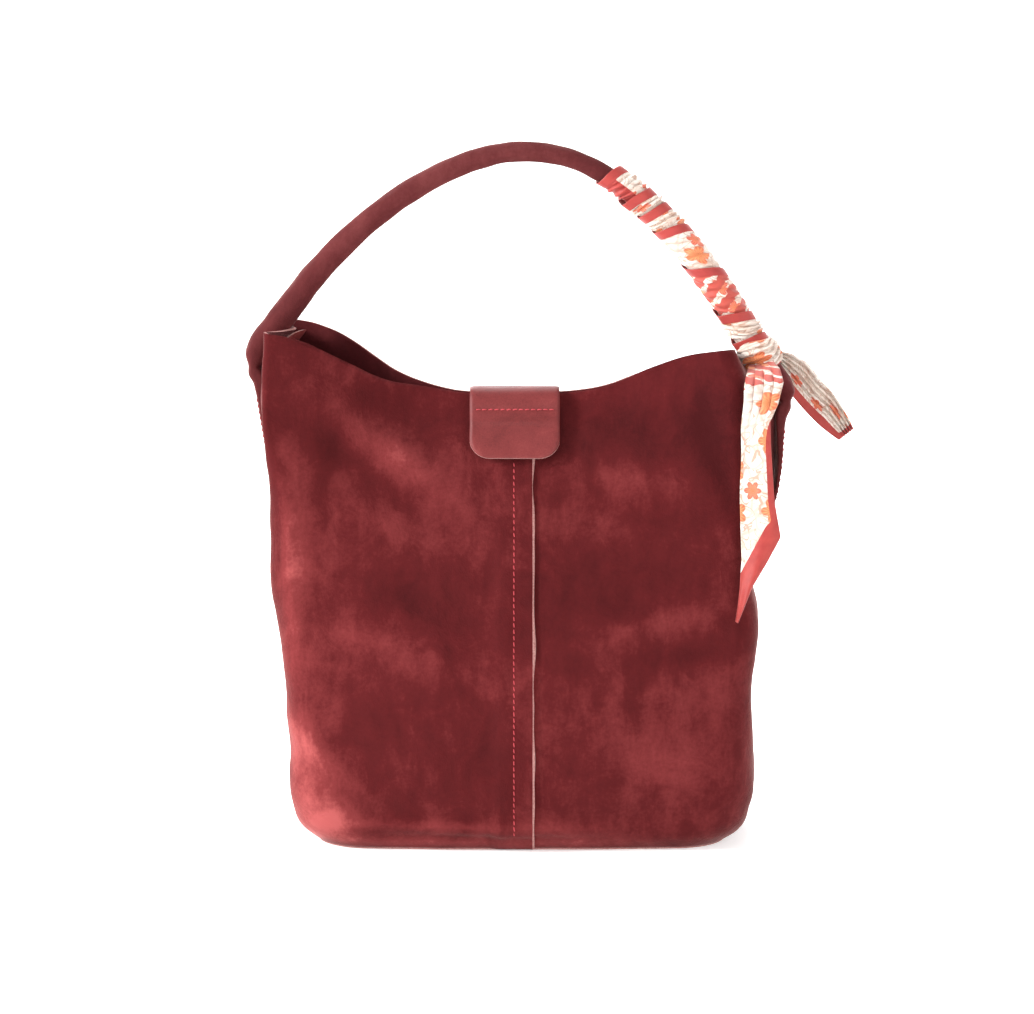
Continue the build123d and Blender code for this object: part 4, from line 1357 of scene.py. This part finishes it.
def make_knot(material):
    """A gathered turn that bulges at the front, where the two tails leave it."""
    point = wound_point(handle_sections())
    rows = 96
    flat = np.linspace(0, SCARF_WIDTH, 56)
    middle = np.empty((rows, len(flat), 3))
    facing = np.empty_like(middle)
    for i in range(rows):
        theta = 2 * math.pi * i / rows
        c, s = math.cos(theta), math.sin(theta)
        front = max(0.0, math.sin(theta - 0.25))
        swell = 2.6 + 9.5 * front**1.6
        half = KNOT_HALF + 3.2 * front
        drift = 0.9 * noise.noise((c * 1.4, s * 1.4, 7))
        for j, f in enumerate(flat):
            turn = math.pi * (0.02 + 0.96 * f / SCARF_WIDTH)
            u = KNOT_PLACE - half * math.cos(turn) + 2.0 * math.sin(theta * 2)
            fold = math.sin(2 * math.pi * (f / KNOT_PLEAT + drift))
            crumple = 0.7 * noise.noise((c * 2.5, s * 2.5, f / 9))
            height = 2.6 + swell * math.sin(turn)**0.8 + (1.7 * fold + crumple) * math.sin(turn)
            middle[i, j], facing[i, j] = point(u, theta, height)
    run = np.broadcast_to(np.linspace(*KNOT_RUN, rows)[:, None], middle.shape[:2])
    across = np.broadcast_to(flat, run.shape)
    rim = SCARF_WIDTH - across + 0.5
    knot = cloth_piece("scarf_knot_roll", middle, across, run, rim, material, facing, True)
    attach(knot, "handle")
    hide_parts("scarf_knot")


# Z, left X, right X, Y of the hanging tail, from the knot to its tip.
FRONT_TAIL = np.array([
    (333, 158, 173, -18), (328, 154.0, 176.5, -38), (320, 151.0, 177.5, -52), (306, 150, 173.5, -60),
    (294, 149.5, 168.4, -62), (274, 149.6, 169.7, -63), (240, 149.5, 172.3, -63), (216, 150.2, 176.6, -65),
    (200, 150.6, 168.0, -66.5), (182, 149.2, 157.0, -69.5), (159, 146.0, 147.4, -74),
], dtype=float)
TAIL_WIDTH = 44.0  # the rest of the scarf's width is rolled under
TAIL_FRONT_SHARE = 0.6  # of the cloth's width shows; the rest is folded behind
TAIL_GATHER_Z = 300.0  # above this the rows lie closer together
TAIL_PLEATS = 6.5  # across its width, where it is gathered
TAIL_CORNER = (176.6, 216.0)
TAIL_TIP = (147.0, 159.0)
TAIL_RUN = 228  # where the tail starts on the print, along the scarf


def make_front_tail(material):
    """The tail that hangs over the front: gathered at the knot, then folded once, with a slanting end."""
    rows = 120
    gathered_rows = 42
    table = FRONT_TAIL[::-1]
    heights = np.concatenate([
        np.linspace(table[-1, 0], TAIL_GATHER_Z, gathered_rows)[:-1],
        np.linspace(TAIL_GATHER_Z, table[0, 0], rows - gathered_rows + 1)])
    columns = 46
    shares = np.linspace(0, 1, columns)
    middle = np.empty((rows, columns, 3))
    rim = np.empty((rows, columns))
    corner = np.array(TAIL_CORNER)
    slant = np.array(TAIL_TIP) - corner
    for i, z in enumerate(heights):
        left, right, y = read_table(z, *table.T)
        left += 0.7 * noise.noise((z / 24, 0.3, 0))
        gathered = 1 - float(ease(332 - z, 12, 58))
        for j, share in enumerate(shares):
            visible = share / TAIL_FRONT_SHARE
            behind = 0.0
            if visible > 1:
                back = (share - TAIL_FRONT_SHARE) / (1 - TAIL_FRONT_SHARE)
                visible = 1 - 0.62 * back
                behind = 2.6 * math.sin(math.pi / 2 * min(1.0, back * 5))
            x = right + (left - right) * visible
            pleat = math.sin(2 * math.pi * (share * TAIL_PLEATS + 0.35 * noise.noise((z / 18, 1, 1))))
            wave = math.sin(math.pi * (1.4 * visible + 0.2 + 0.5 * noise.noise((z / 45, 9, 2))))
            small = 0.5 * noise.noise((x / 7, z / 11, 4.4))
            depth = -gathered * 1.9 * (0.5 + 0.5 * pleat) - (1 - gathered) * 2.2 * wave + small
            lean = gathered * 1.1 * math.cos(2 * math.pi * share * TAIL_PLEATS)
            middle[i, j] = (x + lean, y + depth + behind, z - 3.5 * visible * gathered)
            reach = np.array([x, z]) - corner
            share_down = min(max(float(reach @ slant / (slant @ slant)), 0), 1)
            from_slant = float(np.linalg.norm(reach - slant * share_down))
            rim[i, j] = min(share * TAIL_WIDTH * 1.25 + 14 * gathered, 0.52 * from_slant)
    fall = lengths_along(middle[:, columns // 4])
    run = np.broadcast_to(fall[:, None] + TAIL_RUN, rim.shape)
    across = np.broadcast_to(shares * TAIL_WIDTH, rim.shape)
    facing = np.zeros_like(middle)
    facing[:, :int(columns * TAIL_FRONT_SHARE), 1] = -1
    tail = cloth_piece("scarf_hanging_tail", middle, across, run, rim, material, facing)
    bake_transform(tail)
    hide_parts("scarf_front_tail")


SIDE_UPPER = [(174.5, 343), (183.9, 337.5), (191.5, 335.2), (202.7, 328.5), (211, 318), (220.1, 308.1),
              (230.5, 291.9), (235.0, 283.0)]
SIDE_LOWER = [(174.0, 334), (181.0, 324.0), (187.0, 313.0), (194.5, 303.0), (202.5, 294.0), (210.5, 286.0),
              (218.5, 279.5), (225.0, 275.0)]
SIDE_Y = 12.0
SIDE_BAND = 8.0  # of the cloth lies flat along the lower edge; the rest is pleated
SIDE_RUN = 30  # where it starts on the print, along the scarf
SIDE_PLEAT = 9.0


def make_side_tail(material):
    """The short tail behind the handle that stands out to the side."""
    upper = catmull(SIDE_UPPER, 9)[0]
    lower = catmull(SIDE_LOWER, 9)[0]
    rows = len(upper)
    flat = np.concatenate([np.linspace(0, SIDE_BAND, 8), np.linspace(SIDE_BAND, SCARF_WIDTH, 42)[1:]])
    middle = np.empty((rows, len(flat), 3))
    for i in range(rows):
        t = i / (rows - 1)
        visible = np.linalg.norm(upper[i] - lower[i])
        band = min(SIDE_BAND, visible * 0.34)
        drift = 0.5 * noise.noise((t * 3.1, 2, 0))
        for j, f in enumerate(flat):
            distance = np.interp(f, (0, SIDE_BAND, SCARF_WIDTH), (0, band, visible))
            x, z = lower[i] + (upper[i] - lower[i]) * (distance / visible)
            fold = math.sin(2 * math.pi * (f / SIDE_PLEAT + drift))
            depth = float(ease(f, 7, 12)) * (1.9 - 0.5 * t)
            soft = 0.8 * noise.noise((x / 12, z / 12, 0.4))
            middle[i, j] = (x, SIDE_Y - depth * fold - soft + 2.0 * math.sin(math.pi * t), z)
    fall = lengths_along(middle[:, 20])
    run = np.broadcast_to(fall[:, None] + SIDE_RUN, middle.shape[:2])
    across = np.broadcast_to(flat, run.shape)
    rim = np.minimum(across, (fall[-1] - fall)[:, None] * 1.6 + 0.4)
    facing = np.zeros_like(middle)
    facing[..., 1] = -1
    tail = cloth_piece("scarf_side_tail_cloth", middle, across, run, rim, material, facing)
    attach(tail, "side_tail")
    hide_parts("scarf_side_tail")


# ---------------------------------------------------------------- the whole scene
make_camera()
make_studio()
make_floor()
suede = suede_material("suede_nap", BODY_SUEDE, 0.0)
inside = suede_material("suede_inside", INSIDE_SUEDE, 4.0)
edge = edge_material()
leather = leather_material()
thread = thread_material()
lap = make_body(suede, inside, edge)
make_base(suede, edge)
# the handle's lighter suede carries a painted sheen
make_handle(suede_material("suede_handle_painted_sheen", HANDLE_SUEDE_PAINTED_SHEEN, 7.0), edge)
make_core(cotton_material())
make_seam_stitches(lap, thread)
make_strap_stitches(thread)
make_inner_patches(lap, leather, edge)
make_tab(leather, suede, edge, thread, metal_material())
scarf = scarf_material()
make_wrap(scarf)
make_knot(scarf)
make_front_tail(scarf)
make_side_tail(scarf)
